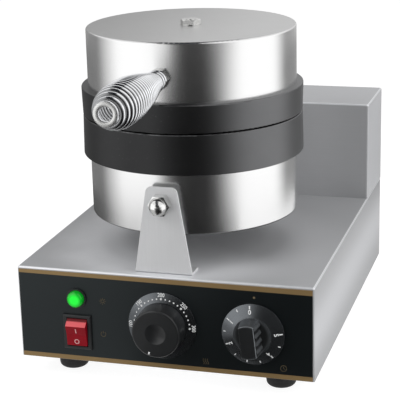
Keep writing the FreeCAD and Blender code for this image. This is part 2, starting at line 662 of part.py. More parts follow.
rectangle(bracket_foot, "-bracket_foot_width / 2", "bracket_gauge / 2", "bracket_foot_width / 2", "bracket_flange")
for u, v in BRACKET_SPOTS:
    circle(bracket_foot, u, v, SCREW_HOLE)
pad(bracket, bracket_foot, "bracket_gauge")
soften(bracket, lambda edge: edge.BoundBox.ZMax < 0.01 and edge.BoundBox.YMax < 0.01, "bracket_gauge")
place(bracket, "0", BRACKET_Y, DECK)
screw_group("bracket_screws", BRACKET_SPOTS, "screw_reach", "0", BRACKET_Y, f"{DECK} + bracket_gauge")

PIVOT_SEAT = f"({BRACKET_Y} - {DRUM_Y} + sqrt({CAN_INSIDE}^2 - (pivot_head_dia / 2)^2))"
turned("pivot_bolt", [
    ("0", f"{PIVOT_SEAT} - pivot_head_height"), ("pivot_head_dia / 2", f"{PIVOT_SEAT} - pivot_head_height"),
    ("pivot_head_dia / 2", PIVOT_SEAT), ("pivot_bolt_dia / 2", PIVOT_SEAT),
    ("pivot_bolt_dia / 2", "acorn_hex_height"), ("0", "acorn_hex_height"),
], "0", BRACKET_Y, PIVOT_Z, TO_USER)
turned("pivot_spacer", ring("pivot_bolt_dia / 2 + loose_fit", "pivot_spacer_dia / 2", "0", "pivot_spacer_length"),
       "0", CAN_FRONT, PIVOT_Z, TO_USER)
acorn_dome = primitive("Sphere", "acorn_dome", {"Radius": "acorn_dome_dia / 2"}, z="acorn_hex_height + 1")
acorn_neck = primitive("Cylinder", "acorn_neck", {"Radius": "acorn_dome_dia / 2", "Height": "acorn_hex_height + 1"})
acorn_bore = primitive("Cylinder", "acorn_bore",
                       {"Radius": "pivot_bolt_dia / 2 + running_fit", "Height": "acorn_hex_height + 2"}, z="-1")
acorn_solid = fused("acorn_solid", [hexagon("acorn", "acorn_flats", "acorn_hex_height"), acorn_dome, acorn_neck])
subpart(place(cut("acorn_cut", acorn_solid, acorn_bore), "0", BRACKET_Y, PIVOT_Z, TO_USER), "pivot_acorn_nut")

TUBE_NUT_SEAT = f"({DRUM_Y} + sqrt({CAN_INSIDE}^2 - trunnion_nut_flats^2 / 3))"
TUBE_START = f"({TUBE_NUT_SEAT} - trunnion_nut_height - 2)"
TUBE_END = f"({TOWER_Y} + sheet_gauge + trunnion_nut_height + 2)"


def along_tube(y):
    return f"({y} - {TUBE_START})"


tube, collar = "trunnion_dia / 2", "trunnion_collar_dia / 2"
turned("trunnion_tube", [
    ("trunnion_bore / 2", "0"), (tube, "0"), (tube, along_tube(CAN_REAR)), (collar, along_tube(CAN_REAR)),
    (collar, f"{along_tube(CAN_REAR)} + trunnion_collar"), (tube, f"{along_tube(CAN_REAR)} + trunnion_collar"),
    (tube, f"{along_tube(TOWER_Y)} - trunnion_collar"), (collar, f"{along_tube(TOWER_Y)} - trunnion_collar"),
    (collar, along_tube(TOWER_Y)), (tube, along_tube(TOWER_Y)), (tube, along_tube(TUBE_END)),
    ("trunnion_bore / 2", along_tube(TUBE_END)),
], "0", TUBE_START, PIVOT_Z, TO_REAR)
nut_group("trunnion_nuts", "trunnion_nut_flats", "trunnion_nut_height", "trunnion_dia / 2 + running_fit",
          [("0", TUBE_NUT_SEAT, PIVOT_Z, TO_USER), ("0", f"{TOWER_Y} + sheet_gauge", PIVOT_Z, TO_REAR)])


# The two halves of the drum, each measured away from its baking face
def can(label, height, front_hole, rear_hole, hole_rise, z, rotation):
    """Steel can, closed end down, with a round hole in its front and its rear."""
    outer, inner, stud_hole = "can_dia / 2", CAN_INSIDE, "stud_dia / 2 + loose_fit"
    body = turned(label, [
        (stud_hole, "0"), (outer, "0"), (outer, height), (inner, height), (inner, "can_gauge"),
        (stud_hole, "can_gauge"),
    ], "0", DRUM_Y, z, rotation)
    soften_rim(body, outer, "0", "can_corner")
    for radius, offset in ((front_hole, "can_dia / 2 + 1"), (rear_hole, "-can_dia / 2 + 12")):
        opening = sketch_on(body, "XZ_Plane", offset)
        circle(opening, "0", hole_rise, radius)
        pocket(body, opening, "14")
    return body


def plate(label, height, side, z):
    """Cast plate; side is +1 for the upper one, which lies above its baking face, and -1 for the lower."""
    def at(depth):
        return f"({depth})" if side > 0 else f"({height} - ({depth}))"

    boss_end = "disc_thickness + boss_height"
    spigot = f"{CAN_INSIDE} - loose_fit"
    stud_hole = "stud_dia / 2 + running_fit"
    profile = [
        ("0", "field_recess"), (FIELD_RADIUS, "field_recess"), (FIELD_RADIUS, "0"),
        (f"{RIM_RADIUS} - rim_draft", "0"), (RIM_RADIUS, height), (spigot, height),
        (spigot, f"{height} + spigot_height"), (CAVITY_RADIUS, f"{height} + spigot_height"),
        (CAVITY_RADIUS, "disc_thickness"), ("boss_dia / 2", "disc_thickness"), ("boss_dia / 2", boss_end),
        (stud_hole, boss_end), (stud_hole, f"{boss_end} - stud_bore_depth"), ("0", f"{boss_end} - stud_bore_depth"),
    ]
    body = turned(f"{label}_blank", [(radius, at(depth)) for radius, depth in profile], "0", DRUM_Y, z,
                  is_piece=False)
    soften_rim(body, f"{RIM_RADIUS} - rim_draft", at("0"), "rim_round")
    soften_rim(body, RIM_RADIUS, at(height), "rim_round")

    lugs = [("-lid_lug_width / 2", "lid_lug_width")]
    if side < 0:
        lugs = [(SIDE_LUG_X, "side_lug_width"), (f"-{HINGE_END}", "side_lug_width")]
    web_low, web_high = sorted(("0", "hinge_lug_height"), key=lambda depth: number(at(depth)))
    for start, width in lugs:
        web = sketch_on(body, "YZ_Plane", start)
        rectangle(web, f"{CAVITY_RADIUS} + 2", at(web_low), HINGE_REACH, at(web_high))
        pad(body, web, width)
        boss = sketch_on(body, "YZ_Plane", start)
        circle(boss, HINGE_REACH, at("-plate_gap / 2"), "hinge_boss_dia / 2")
        pad(body, boss, width)
    pin_hole = sketch_on(body, "YZ_Plane", f"{HINGE_END} + 1")
    circle(pin_hole, HINGE_REACH, at("-plate_gap / 2"), "hinge_pin_dia / 2 + running_fit")
    pocket(body, pin_hole, f"2 * {HINGE_END} + 2")

    level = Vector(0, number(DRUM_Y), number(f"{z} + {at('field_recess')}"))
    casting = body
    for name, turn in (("right", 45), ("left", -45)):
        bars = doc.addObject("Part::Feature", f"{label}_grooves_{name}")
        bars.Shape = groove_bars(level, Rotation(Vector(0, 0, 1), turn), side)
        casting = cut(f"{label}_{name}", casting, bars)
        casting.Refine = False
    return subpart(casting, label)


def groove_bars(level, rotation, side):
    """Parallel bars across the baking field, as long as the round field allows."""
    pitch, width, depth = number("groove_pitch"), number("groove_width"), number("groove_depth")
    field = number(FIELD_RADIUS) - width
    count = int(field / pitch)
    bars = []
    for index in range(-count, count + 1):
        reach = math.sqrt(field ** 2 - (index * pitch) ** 2)
        corner = Vector(-reach, index * pitch - width / 2, min(0, side * depth))
        bars.append(Part.makeBox(2 * reach, width, depth, corner))
    shape = Part.makeCompound(bars)
    shape.Placement = Placement(level, rotation)
    return shape


def heater(label, face_z, side):
    """Tubular heater: an open ring whose ends turn away from the baking face into two legs."""
    ring_radius, bend, leg = number(HEATER_RADIUS), number("heater_bend"), number("heater_leg")
    gap = math.radians(number("heater_gap_angle"))
    middle = Vector(0, number(DRUM_Y), number(face_z) + side * number(HEATER_DEPTH))
    away = Vector(0, 0, side)

    def around(angle):
        return middle + Vector(math.cos(angle), math.sin(angle), 0) * ring_radius

    legs = []
    for sign in (1, -1):
        start = around(sign * gap)
        tangent = Vector(math.sin(gap), -sign * math.cos(gap), 0)
        knee = start + tangent * bend + away * bend
        bow = start + tangent * bend * math.sin(math.pi / 4) + away * bend * (1 - math.cos(math.pi / 4))
        legs.append((start, bow, knee, knee + away * leg))
    (start, bow, knee, end), (start2, bow2, knee2, end2) = legs
    path = Part.Wire([
        Part.LineSegment(end, knee).toShape(), Part.Arc(knee, bow, start).toShape(),
        Part.Arc(start, around(math.pi), start2).toShape(), Part.Arc(start2, bow2, knee2).toShape(),
        Part.LineSegment(knee2, end2).toShape(),
    ])
    section = Part.Wire([Part.Circle(end, away, number("heater_tube_dia") / 2).toShape()])
    tube = doc.addObject("Part::Feature", label)
    tube.Shape = path.makePipeShell([section], True, False)
    return subpart(tube, label)


def heater_clamp(label, z):
    """Sheet disc that holds the heater, with holes for stud, heater legs and capillary."""
    body = new_body(label)
    disc = sketch_on(body, "XY_Plane")
    circle(disc, "0", "0", f"{CAVITY_RADIUS} - clamp_clearance")
    circle(disc, "0", "0", "stud_dia / 2 + loose_fit")
    angle = "heater_gap_angle * 1 deg"
    leg_x = f"{HEATER_RADIUS} * cos({angle}) + heater_bend * sin({angle})"
    leg_y = f"({HEATER_RADIUS} * sin({angle}) - heater_bend * cos({angle}))"
    for side in ("", "-"):
        circle(disc, leg_x, f"{side}{leg_y}", "heater_tube_dia / 2 + 1")
    circle(disc, "capillary_drop_x", "bulb_offset", "capillary_dia / 2 + 1.5")
    pad(body, disc, "clamp_gauge")
    return place(body, "0", DRUM_Y, z)


can("lower_can", "lower_can_height", "pivot_bolt_dia / 2 + loose_fit", "trunnion_dia / 2 + loose_fit",
    "pivot_rise", LOWER_CAN_Z, UPRIGHT)
plate("lower_plate", "lower_plate_height", -1, LOWER_RIM_Z)
heater("lower_heater", LOWER_FACE_Z, -1)
heater_clamp("lower_heater_clamp", f"{LOWER_FACE_Z} - {CLAMP_NUT_DEPTH}")

can("upper_can", "upper_can_height", "grommet_neck_dia / 2 + running_fit", "handle_stud_dia / 2 + loose_fit",
    "upper_can_height - handle_rise", f"{UPPER_RIM_Z} + upper_can_height", DOWNWARD)
plate("upper_plate", "upper_plate_height", 1, UPPER_FACE_Z)
heater("upper_heater", UPPER_FACE_Z, 1)
heater_clamp("upper_heater_clamp", f"{UPPER_FACE_Z} + {CLAMP_DEPTH}")

STUD_START = "(disc_thickness + boss_height - stud_bore_depth + loose_fit)"
for half, sign, face_z, height, rotation in (
    ("lower", "-", LOWER_FACE_Z, "(lower_plate_height + lower_can_height)", DOWNWARD),
    ("upper", "+", UPPER_FACE_Z, "(upper_plate_height + upper_can_height)", UPRIGHT),
):
    washer_top = f"({height} + stud_washer)"
    stud_end = f"({washer_top} + stud_nut_height + stud_overhang)"
    stud_hole = "stud_dia / 2 + running_fit"
    turned(f"{half}_stud", solid_rod("stud_dia / 2", STUD_START, stud_end), "0", DRUM_Y, face_z, rotation)
    turned(f"{half}_can_washer", ring(stud_hole, "stud_washer_dia / 2", height, washer_top),
           "0", DRUM_Y, face_z, rotation)
    nut_group(f"{half}_stud_nuts", "stud_nut_flats", "stud_nut_height", stud_hole,
              [("0", DRUM_Y, f"{face_z} {sign} {depth}", rotation) for depth in (CLAMP_NUT_DEPTH, washer_top)])

GROMMET_SEAT = f"(sqrt({CAN_INSIDE}^2 - (grommet_dia / 2)^2) - can_dia / 2)"
grommet("upper_can_grommet", "0", GROMMET_SEAT, "0", CAN_REAR, HANDLE_Z, TO_REAR)

# Hinge pin and its clips
PIN_END = f"({HINGE_END} + pin_overhang)"
HINGE_Y = f"({DRUM_Y} + {HINGE_REACH})"
HINGE_Z = f"({LOWER_FACE_Z} + plate_gap / 2)"
turned("hinge_pin", solid_rod("hinge_pin_dia / 2", f"-{PIN_END}", PIN_END), "0", HINGE_Y, HINGE_Z, TO_RIGHT)
clips = new_body("hinge_clips")
for start in (HINGE_END, f"-{HINGE_END} - clip_gauge"):
    clip = sketch_on(clips, "XY_Plane", start)
    circle(clip, "0", "0", "clip_dia / 2")
    circle(clip, "0", "0", "hinge_pin_dia / 2 + running_fit")
    pad(clips, clip, "clip_gauge")
place(clips, "0", HINGE_Y, HINGE_Z, TO_RIGHT)

# Handle: stud, two nuts and the wound coil
HANDLE_SEAT = f"(sqrt({CAN_INSIDE}^2 - handle_nut_flats^2 / 3) - can_dia / 2)"
turned("handle_stud", solid_rod("handle_stud_dia / 2", f"{HANDLE_SEAT} - handle_nut_height - 2",
                                "handle_nut_height + handle_stud_reach"), "0", CAN_FRONT, HANDLE_Z, TO_USER)
handle_hole = "handle_stud_dia / 2 + running_fit"
hex_nut("handle_lock_nut", "handle_nut_flats", "handle_nut_height", handle_hole,
        "0", CAN_FRONT, HANDLE_Z, TO_USER)
hex_nut("handle_inner_nut", "handle_nut_flats", "handle_nut_height", handle_hole,
        "0", f"{CAN_FRONT} - {HANDLE_SEAT}", HANDLE_Z, TO_REAR)


def biarc(start, along, end, onward):
    """Two arcs that join two points with given directions; each as its start, middle and end."""
    span = end - start
    total = along + onward
    square = 2 * (1 - along.dot(onward))
    linear = span.dot(total)
    reach = span.dot(span) / (2 * linear)
    if square > 1e-9:
        reach = (math.sqrt(linear ** 2 + square * span.dot(span)) - linear) / square
    meet = (start + along * reach + end - onward * reach) * 0.5
    arcs = []
    for a, knee, b in ((start, start + along * reach, meet), (meet, end - onward * reach, end)):
        half = ((b - a).Length / 2) / (knee - a).Length
        chord_middle = (a + b) * 0.5
        sine = math.sqrt(max(0.0, 1 - half ** 2))
        rise = (knee - chord_middle).Length * half / (1 + half) if sine > 1e-9 else 0.0
        arcs.append((a, chord_middle + (knee - chord_middle).normalize() * rise, b))
    return arcs


def coil():
    """Wire wound in a barrel shape along the handle's own axis, as one unbroken tube."""
    wire, turns = number("handle_wire"), number("handle_turns")
    pitch = wire + number("handle_wire_gap")
    neck_turns = number("handle_neck_turns")
    neck = number("handle_stud_dia") / 2 + number("loose_fit") + wire / 2
    widest = (number("handle_barrel_dia") - wire) / 2
    last = (number("handle_end_dia") - wire) / 2
    crest = turns * number("handle_barrel_place")
    nose = number("handle_nut_height") + number("loose_fit") + wire / 2

    def radius(turn):
        if turn <= neck_turns:
            return neck
        if turn <= crest:
            share = (turn - neck_turns) / (crest - neck_turns)
            return neck + (widest - neck) * math.sin(math.pi / 2 * share)
        share = (turn - crest) / (turns - crest)
        return last + (widest - last) * (1 - share ** 3)

    def point(turn):
        angle = 2 * math.pi * turn
        r = radius(turn)
        return Vector(r * math.cos(angle), r * math.sin(angle), nose + pitch * turn)

    def direction(turn):
        step = 1e-4
        return (point(turn + step) - point(turn - step)).normalize()

    stations = [index / 4 for index in range(int(round(4 * turns)) + 1)]
    edges = []
    for first, second in zip(stations, stations[1:]):
        for a, middle, b in biarc(point(first), direction(first), point(second), direction(second)):
            edges.append(Part.Arc(a, middle, b).toShape())
    spine = Part.Wire(edges)
    section = Part.Wire([Part.Circle(point(0), direction(0), wire / 2).toShape()])
    samples = [point(index / 24) for index in range(int(24 * turns) + 1)]
    gap = min((samples[j] - samples[i]).Length for i in range(len(samples))
              for j in range(i + 12, min(i + 40, len(samples)))) - wire
    print(f"handle coil: least gap between turns {gap:.2f} mm")
    return spine.makePipeShell([section], True, False)


handle_coil = doc.addObject("Part::Feature", "handle_coil")
handle_coil.Shape = coil()
subpart(place(handle_coil, "0", CAN_FRONT, HANDLE_Z, TO_USER), "handle_coil")


# Controls on the fascia, each measured outwards from the fascia's face
def control_case(label, nut_seat, x):
    """Case behind the panel with a threaded bush through it and push-on tabs at its back."""
    back = f"({PANEL_BACK} - case_depth)"
    case = primitive("Box", f"{label}_case", {"Length": "case_width", "Width": "case_height", "Height": "case_depth"},
                     "-case_width / 2", "-case_height / 2", back)
    bush = primitive("Cylinder", f"{label}_bush", {
        "Radius": "bush_dia / 2", "Height": f"{nut_seat} + ring_nut_height + bush_overhang - {PANEL_BACK} + 1",
    }, z=f"{PANEL_BACK} - 1")
    tabs = [primitive("Box", f"{label}_tab", {
        "Length": "lead_tab_gauge", "Width": "lead_tab_width", "Height": "lead_tab_length + 1",
    }, f"{side} * case_width / 4", "-case_height / 3", f"{back} - lead_tab_length") for side in (-1, 1)]
    bore = primitive("Cylinder", f"{label}_bore", {
        "Radius": SHAFT_HOLE, "Height": f"shaft_depth + loose_fit + {nut_seat} + 30",
    }, z=f"{PANEL_BACK} - shaft_depth - loose_fit")
    made = cut(f"{label}_cut", fused(f"{label}_solid", [case, bush] + tabs), bore)
    subpart(place(made, x, PANEL, f"{FLOOR_PLATE} + {DIAL_RISE}", TO_USER), label)


def on_panel(label, profile, x, rise):
    return turned(label, profile, x, PANEL, f"{FLOOR_PLATE} + {rise}", TO_USER)


control_case("thermostat_body", "dial_height", "0")
on_panel("thermostat_dial_plate", [
    (BUSH_HOLE, "0"), ("dial_dia / 2", "0"), ("dial_dia / 2", "dial_edge"),
    ("thermostat_knob_dia / 2", "dial_height"), (BUSH_HOLE, "dial_height"),
], "0", DIAL_RISE)
KNOB_BACK = "(dial_height + knob_gap)"
KNOB_INSIDE = "(thermostat_knob_front - knob_face)"
HUB_BACK = f"({DIAL_FRONT} + knob_gap)"
SHAFT_END = f"({KNOB_INSIDE} + 1)"
knob = on_panel("thermostat_knob", [
    ("0", "thermostat_knob_front"), ("thermostat_knob_dia / 2 - thermostat_knob_draft", "thermostat_knob_front"),
    ("thermostat_knob_dia / 2", KNOB_BACK), ("thermostat_knob_dia / 2 - knob_wall", KNOB_BACK),
    ("thermostat_knob_dia / 2 - knob_wall", KNOB_INSIDE), ("hub_dia / 2", KNOB_INSIDE), ("hub_dia / 2", HUB_BACK),
    (SHAFT_HOLE, HUB_BACK), (SHAFT_HOLE, f"{SHAFT_END} + loose_fit"), ("0", f"{SHAFT_END} + loose_fit"),
], "0", DIAL_RISE)
soften_rim(knob, "thermostat_knob_dia / 2 - thermostat_knob_draft", "thermostat_knob_front", "knob_round")
DISH_RADIUS = "(((knob_dish_dia / 2)^2 + knob_dish^2) / (2 * knob_dish))"
dish = knob.newObject("PartDesign::SubtractiveSphere", "thermostat_knob_dish")
bind(dish, "Radius", DISH_RADIUS)
place(dish, "0", "0", f"thermostat_knob_front - knob_dish + {DISH_RADIUS}")
SHAFT_BACK = f"({PANEL_BACK} - shaft_depth)"
on_panel("thermostat_shaft", solid_rod("shaft_dia / 2", SHAFT_BACK, SHAFT_END), "0", DIAL_RISE)

control_case("timer_body", "0", TIMER_X)
nut_group("dial_ring_nuts", "ring_nut_flats", "ring_nut_height", "bush_dia / 2 + running_fit",
          [("0", f"{PANEL} - dial_height", f"{FLOOR_PLATE} + {DIAL_RISE}", TO_USER),
           (TIMER_X, PANEL, f"{FLOOR_PLATE} + {DIAL_RISE}", TO_USER)])
SKIRT_INSIDE = "(ring_nut_height + bush_overhang + knob_gap)"
TIMER_SHAFT_END = "(timer_grip_front - knob_face)"
timer_knob = on_panel("timer_knob", [
    ("0", "timer_grip_front"), ("timer_grip_length / 2", "timer_grip_front"),
    ("timer_cone_dia / 2", "timer_cone_height"),
    ("timer_skirt_dia / 2", "knob_gap + timer_skirt_edge"), ("timer_skirt_dia / 2", "knob_gap"),
    ("timer_cone_dia / 2 - knob_wall / 2", "knob_gap"), ("timer_cone_dia / 2 - knob_wall / 2", SKIRT_INSIDE),
    ("0", SKIRT_INSIDE),
], TIMER_X, DIAL_RISE)
grip_sides = sketch_on(timer_knob, "XY_Plane", "timer_grip_front", number("timer_rest"))
bind(grip_sides, "AttachmentOffset.Rotation.Angle", "timer_rest")
rectangle(grip_sides, "timer_grip_width / 2", "-timer_cone_dia", "timer_cone_dia", "timer_cone_dia")
rectangle(grip_sides, "-timer_cone_dia", "-timer_cone_dia", "-timer_grip_width / 2", "timer_cone_dia")
pocket(timer_knob, grip_sides, "timer_grip_front - timer_cone_height", taper="-timer_grip_taper")
grip_front = number("timer_grip_front")
soften(timer_knob, lambda edge: edge.BoundBox.ZMin > grip_front - 0.01, "timer_grip_round")
shaft_hole = sketch_on(timer_knob, "XY_Plane", SKIRT_INSIDE)
circle(shaft_hole, "0", "0", SHAFT_HOLE)
pocket(timer_knob, shaft_hole, f"{TIMER_SHAFT_END} + loose_fit - {SKIRT_INSIDE}", flip=True)
on_panel("timer_shaft", solid_rod("shaft_dia / 2", SHAFT_BACK, TIMER_SHAFT_END), TIMER_X, DIAL_RISE)

switch = new_body("switch_body")
case_outline = sketch_on(switch, "XY_Plane")
oblong(case_outline, "0", "0", "switch_case_width", "switch_case_height")
pad(switch, case_outline, "switch_case_depth", flip=True)
bezel_outline = sketch_on(switch, "XY_Plane")
oblong(bezel_outline, "0", "0", "switch_bezel_width", "switch_bezel_height")
pad(switch, bezel_outline, "switch_bezel_depth")
bezel_front = number("switch_bezel_depth")
soften(switch, lambda edge: edge.BoundBox.ZMin > bezel_front - 0.01, "switch_bezel_depth / 2")
well = sketch_on(switch, "XY_Plane", "switch_bezel_depth")
oblong(well, "0", "0", "switch_window_width", "switch_window_height")
pocket(switch, well, "switch_bezel_depth + switch_well_depth")
pivot_holes = sketch_on(switch, "YZ_Plane", "switch_case_width / 2")
circle(pivot_holes, "0", "-rocker_pivot_depth", "rocker_pin_dia / 2 + running_fit")
pocket(switch, pivot_holes, "switch_case_width")
switch_tabs = sketch_on(switch, "XY_Plane", "-switch_case_depth + 1")
for index in (-1, 0, 1):
    oblong(switch_tabs, "0", f"{index} * switch_case_height / 3", "lead_tab_width", "lead_tab_gauge")
pad(switch, switch_tabs, "lead_tab_length + 1", flip=True)
place(switch, SWITCH_X, PANEL, f"{FLOOR_PLATE} + switch_rise", TO_USER)

rocker = new_body("switch_rocker")
rocker_edge = "(switch_window_width / 2 - rocker_side_gap)"
rocker_end = "(switch_window_height / 2 - rocker_side_gap)"
rocker_side = sketch_on(rocker, "YZ_Plane", f"-{rocker_edge}")
outline(rocker_side, [
    ("-rocker_foot", "rocker_crown"), (f"-{rocker_end}", "1"), (f"-{rocker_end} / 2", "-rocker_crown / 2"),
    (f"{rocker_end} / 2", "-rocker_crown / 2"), (rocker_end, "1"), ("rocker_head", "rocker_crown"),
    ("0", "rocker_dip"),
])
pad(rocker, rocker_side, f"2 * {rocker_edge}")
pin_edge = "(switch_case_width / 2 - rocker_side_gap)"
rocker_pin = sketch_on(rocker, "YZ_Plane", f"-{pin_edge}")
circle(rocker_pin, "0", "0", "rocker_pin_dia / 2")
pad(rocker, rocker_pin, f"2 * {pin_edge}")
place(rocker, SWITCH_X, f"{PANEL} + rocker_pivot_depth", f"{FLOOR_PLATE} + switch_rise",
      Rotation(Vector(1, 0, 0), 90 + number("rocker_tilt")))
bind(rocker, "Placement.Rotation.Angle", "90 + rocker_tilt")

lens_edge = "indicator_lens_dia / 2"
body_edge, body_bore = "indicator_body_dia / 2", "(indicator_body_dia / 2 - 1)"
lens_back, body_back = "-indicator_body_length / 3", "-indicator_body_length"
lens_front = "indicator_seat + indicator_lens_height"
on_panel("indicator_body", [
    (f"{lens_edge} + loose_fit", "2 * indicator_seat"), ("indicator_bezel_dia / 2", "2 * indicator_seat"),
    ("indicator_bezel_dia / 2", "0"), (body_edge, "0"), (body_edge, body_back), ("0", body_back),
    ("0", f"{lens_back} - loose_fit"), (body_bore, f"{lens_back} - loose_fit"), (body_bore, "indicator_seat"),
    (f"{lens_edge} + loose_fit", "indicator_seat"),
], SWITCH_X, INDICATOR_RISE)
lens = on_panel("indicator_lens", [
    ("0", lens_back), (f"{body_bore} - loose_fit", lens_back), (f"{body_bore} - loose_fit", "indicator_seat"),
    (lens_edge, "indicator_seat"), (lens_edge, lens_front), ("0", lens_front),
], SWITCH_X, INDICATOR_RISE)
soften_rim(lens, lens_edge, lens_front, "indicator_lens_height / 2")

# Inside the base: capillary with its bulb, cable gland and terminal block
BULB_Z = f"({LOWER_FACE_Z} - disc_thickness - bulb_dia / 2 - running_fit)"
capillary_route = [
    ("bulb_length / 2", f"{DRUM_Y} + bulb_offset", BULB_Z),
    ("capillary_drop_x", f"{DRUM_Y} + bulb_offset", BULB_Z),
    ("capillary_drop_x", f"{DRUM_Y} + bulb_offset", PIVOT_Z),
    ("0", f"{CAN_REAR} - 30", PIVOT_Z),
    ("0", f"{REAR} - tower_depth / 2", PIVOT_Z),
    ("0", f"{REAR} - tower_depth / 2", f"{FLOOR_PLATE} + {DIAL_RISE}"),
    ("0", f"{FRONT} + sheet_gauge + case_depth", f"{FLOOR_PLATE} + {DIAL_RISE}"),
]


def bent_tube(route, radius, bend):
    """Round tube along straight runs joined by equal bends."""
    points = [Vector(*(number(value) for value in spot)) for spot in route]
    edges = []
    last = points[0]
    for before, knee, after in zip(points, points[1:], points[2:]):
        back, onward = (before - knee).normalize(), (after - knee).normalize()
        half = back.getAngle(onward) / 2
        reach = bend / math.tan(half)
        inner = (back + onward).normalize()
        middle = knee + inner * (bend / math.sin(half) - bend)
        edges.append(Part.LineSegment(last, knee + back * reach).toShape())
        edges.append(Part.Arc(knee + back * reach, middle, knee + onward * reach).toShape())
        last = knee + onward * reach
    edges.append(Part.LineSegment(last, points[-1]).toShape())
    section = Part.Wire([Part.Circle(points[0], points[1] - points[0], radius).toShape()])
    return Part.Wire(edges).makePipeShell([section], True, False)


capillary_tube = bent_tube(capillary_route, number("capillary_dia") / 2, number("capillary_bend"))
bulb_start = Vector(-number("bulb_length") / 2, number(f"{DRUM_Y} + bulb_offset"), number(BULB_Z))
bulb = Part.makeCylinder(number("bulb_dia") / 2, number("bulb_length") + 1, bulb_start, Vector(1, 0, 0))
capillary = doc.addObject("Part::Feature", "thermostat_capillary")
capillary.Shape = capillary_tube.fuse(bulb)
subpart(capillary, "thermostat_capillary")

gland_hex = hexagon("gland", "gland_flats", "gland_hex")
gland_cap = primitive("Cylinder", "gland_cap", {"Radius": "gland_cap_dia / 2", "Height": "gland_length"})
gland_thread = primitive("Cylinder", "gland_thread", {
    "Radius": "gland_thread_dia / 2", "Height": "gland_inside + 1"}, z="-gland_inside")
gland_bore = primitive("Cylinder", "gland_bore_tool", {
    "Radius": "gland_bore / 2", "Height": "gland_inside + gland_length + 2"}, z="-gland_inside - 1")
gland = cut("gland_cut", fused("gland_solid", [gland_hex, gland_cap, gland_thread]), gland_bore)
subpart(place(gland, GLAND_X, REAR, f"{FLOOR_PLATE} + gland_rise", TO_REAR), "cable_gland")
hex_nut("cable_gland_nut", "gland_flats", "gland_nut_height", "gland_thread_dia / 2 + running_fit",
        GLAND_X, f"{REAR} - sheet_gauge", f"{FLOOR_PLATE} + gland_rise", TO_USER)

terminals = new_body("terminal_block")
terminal_outline = sketch_on(terminals, "XY_Plane")
oblong(terminal_outline, "0", "0", "terminal_width", "terminal_depth")
pad(terminals, terminal_outline, "terminal_height")
terminal_holes = sketch_on(terminals, "XY_Plane", "terminal_height")
for index in (-1.5, -0.5, 0.5, 1.5):
    for side in ("-", ""):
        circle(terminal_holes, f"{index} * terminal_pitch", f"{side}terminal_depth / 4", "screw_dia / 2")
pocket(terminals, terminal_holes, "terminal_height / 2")
place(terminals, f"{GLAND_X} / 2", f"{REAR} - terminal_inset", f"{FLOOR_PLATE} + sheet_gauge")

doc.recompute()
for thing in doc.Objects:
    if "Invalid" in thing.State or "Error" in thing.State:
        raise RuntimeError(f"{thing.Label} did not build: {thing.State}")
os.makedirs("parts", exist_ok=True)
for thing in subparts:
    shape = thing.Shape
    if shape.isNull() or not shape.isValid() or not shape.Solids:
        raise RuntimeError(f"{thing.Label} has no valid solid")
    shape.exportStep(f"parts/{thing.Label}.step")
whole = Part.makeCompound([thing.Shape for thing in subparts]).BoundBox
print(f"{len(subparts)} pieces, x {whole.XMin:.1f} to {whole.XMax:.1f}, y {whole.YMin:.1f} to {whole.YMax:.1f}, "
      f"z {whole.ZMin:.1f} to {whole.ZMax:.1f}")
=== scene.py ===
import json
import math

import bmesh
import bpy
from bpy.props import FloatProperty, FloatVectorProperty, IntProperty, PointerProperty
from bpy.types import Operator, Panel, PropertyGroup
from mathutils import Matrix, Vector
from mathutils.bvhtree import BVHTree


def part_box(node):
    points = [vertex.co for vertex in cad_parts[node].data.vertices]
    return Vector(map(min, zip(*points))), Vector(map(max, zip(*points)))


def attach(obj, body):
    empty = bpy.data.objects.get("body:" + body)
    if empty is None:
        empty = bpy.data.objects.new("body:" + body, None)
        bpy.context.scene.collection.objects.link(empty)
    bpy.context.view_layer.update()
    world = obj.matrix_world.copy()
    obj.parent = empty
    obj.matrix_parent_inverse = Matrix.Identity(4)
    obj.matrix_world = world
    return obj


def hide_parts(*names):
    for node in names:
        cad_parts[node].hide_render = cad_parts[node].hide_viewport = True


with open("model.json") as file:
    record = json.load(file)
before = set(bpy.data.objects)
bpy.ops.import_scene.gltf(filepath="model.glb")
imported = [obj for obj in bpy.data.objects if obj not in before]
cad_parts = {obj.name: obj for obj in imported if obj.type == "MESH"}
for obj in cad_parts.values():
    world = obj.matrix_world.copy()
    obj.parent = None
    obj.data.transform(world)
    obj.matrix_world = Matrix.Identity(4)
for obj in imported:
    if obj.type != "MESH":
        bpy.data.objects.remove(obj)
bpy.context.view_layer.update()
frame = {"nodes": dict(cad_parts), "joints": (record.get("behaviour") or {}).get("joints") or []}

bl_info = {
    "name": "Cone Maker Dressing",
    "version": (1, 0, 0),
    "blender": (4, 5, 0),
    "location": "View3D > Sidebar > Cone Maker",
    "description": "Spring handle, dials, screws, finishes and studio for the packed cone maker",
    "category": "Object",
}


def middle(node):
    """Middle of a CAD node's box."""
    low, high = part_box(node)
    return (low + high) / 2


def half_width(node):
    """Half of a CAD node's extent along x."""
    low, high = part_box(node)
    return (high.x - low.x) / 2


MM = 0.001
JOINTS = {joint["name"]: joint for joint in frame["joints"]}
DIALS = {"thermostat_turn": "thermostat_dial_plate", "timer_turn": "timer_knob"}
FASCIA_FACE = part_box("control_fascia")[0].y
CAN_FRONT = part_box("upper_can")[0].y
DRUM_Y = middle("upper_can").y
HANDLE_HEIGHT = middle("handle_stud").z
TOUCHING = 1e-6
# Local x, y and z of a face that looks forward: right, up and out of the front.
FRONT = Matrix(((1, 0, 0, 0), (0, 0, -1, 0), (0, 1, 0, 0), (0, 0, 0, 1)))
WHITE = (1, 1, 1, 1)
DONE = {"FINISHED"}


# Node trees


def both_ways(operation):
    """A Math operation as an operator of Wire and its reflected form."""
    return (lambda self, other: self.calc(operation, self, other),
            lambda self, other: self.calc(operation, other, self))


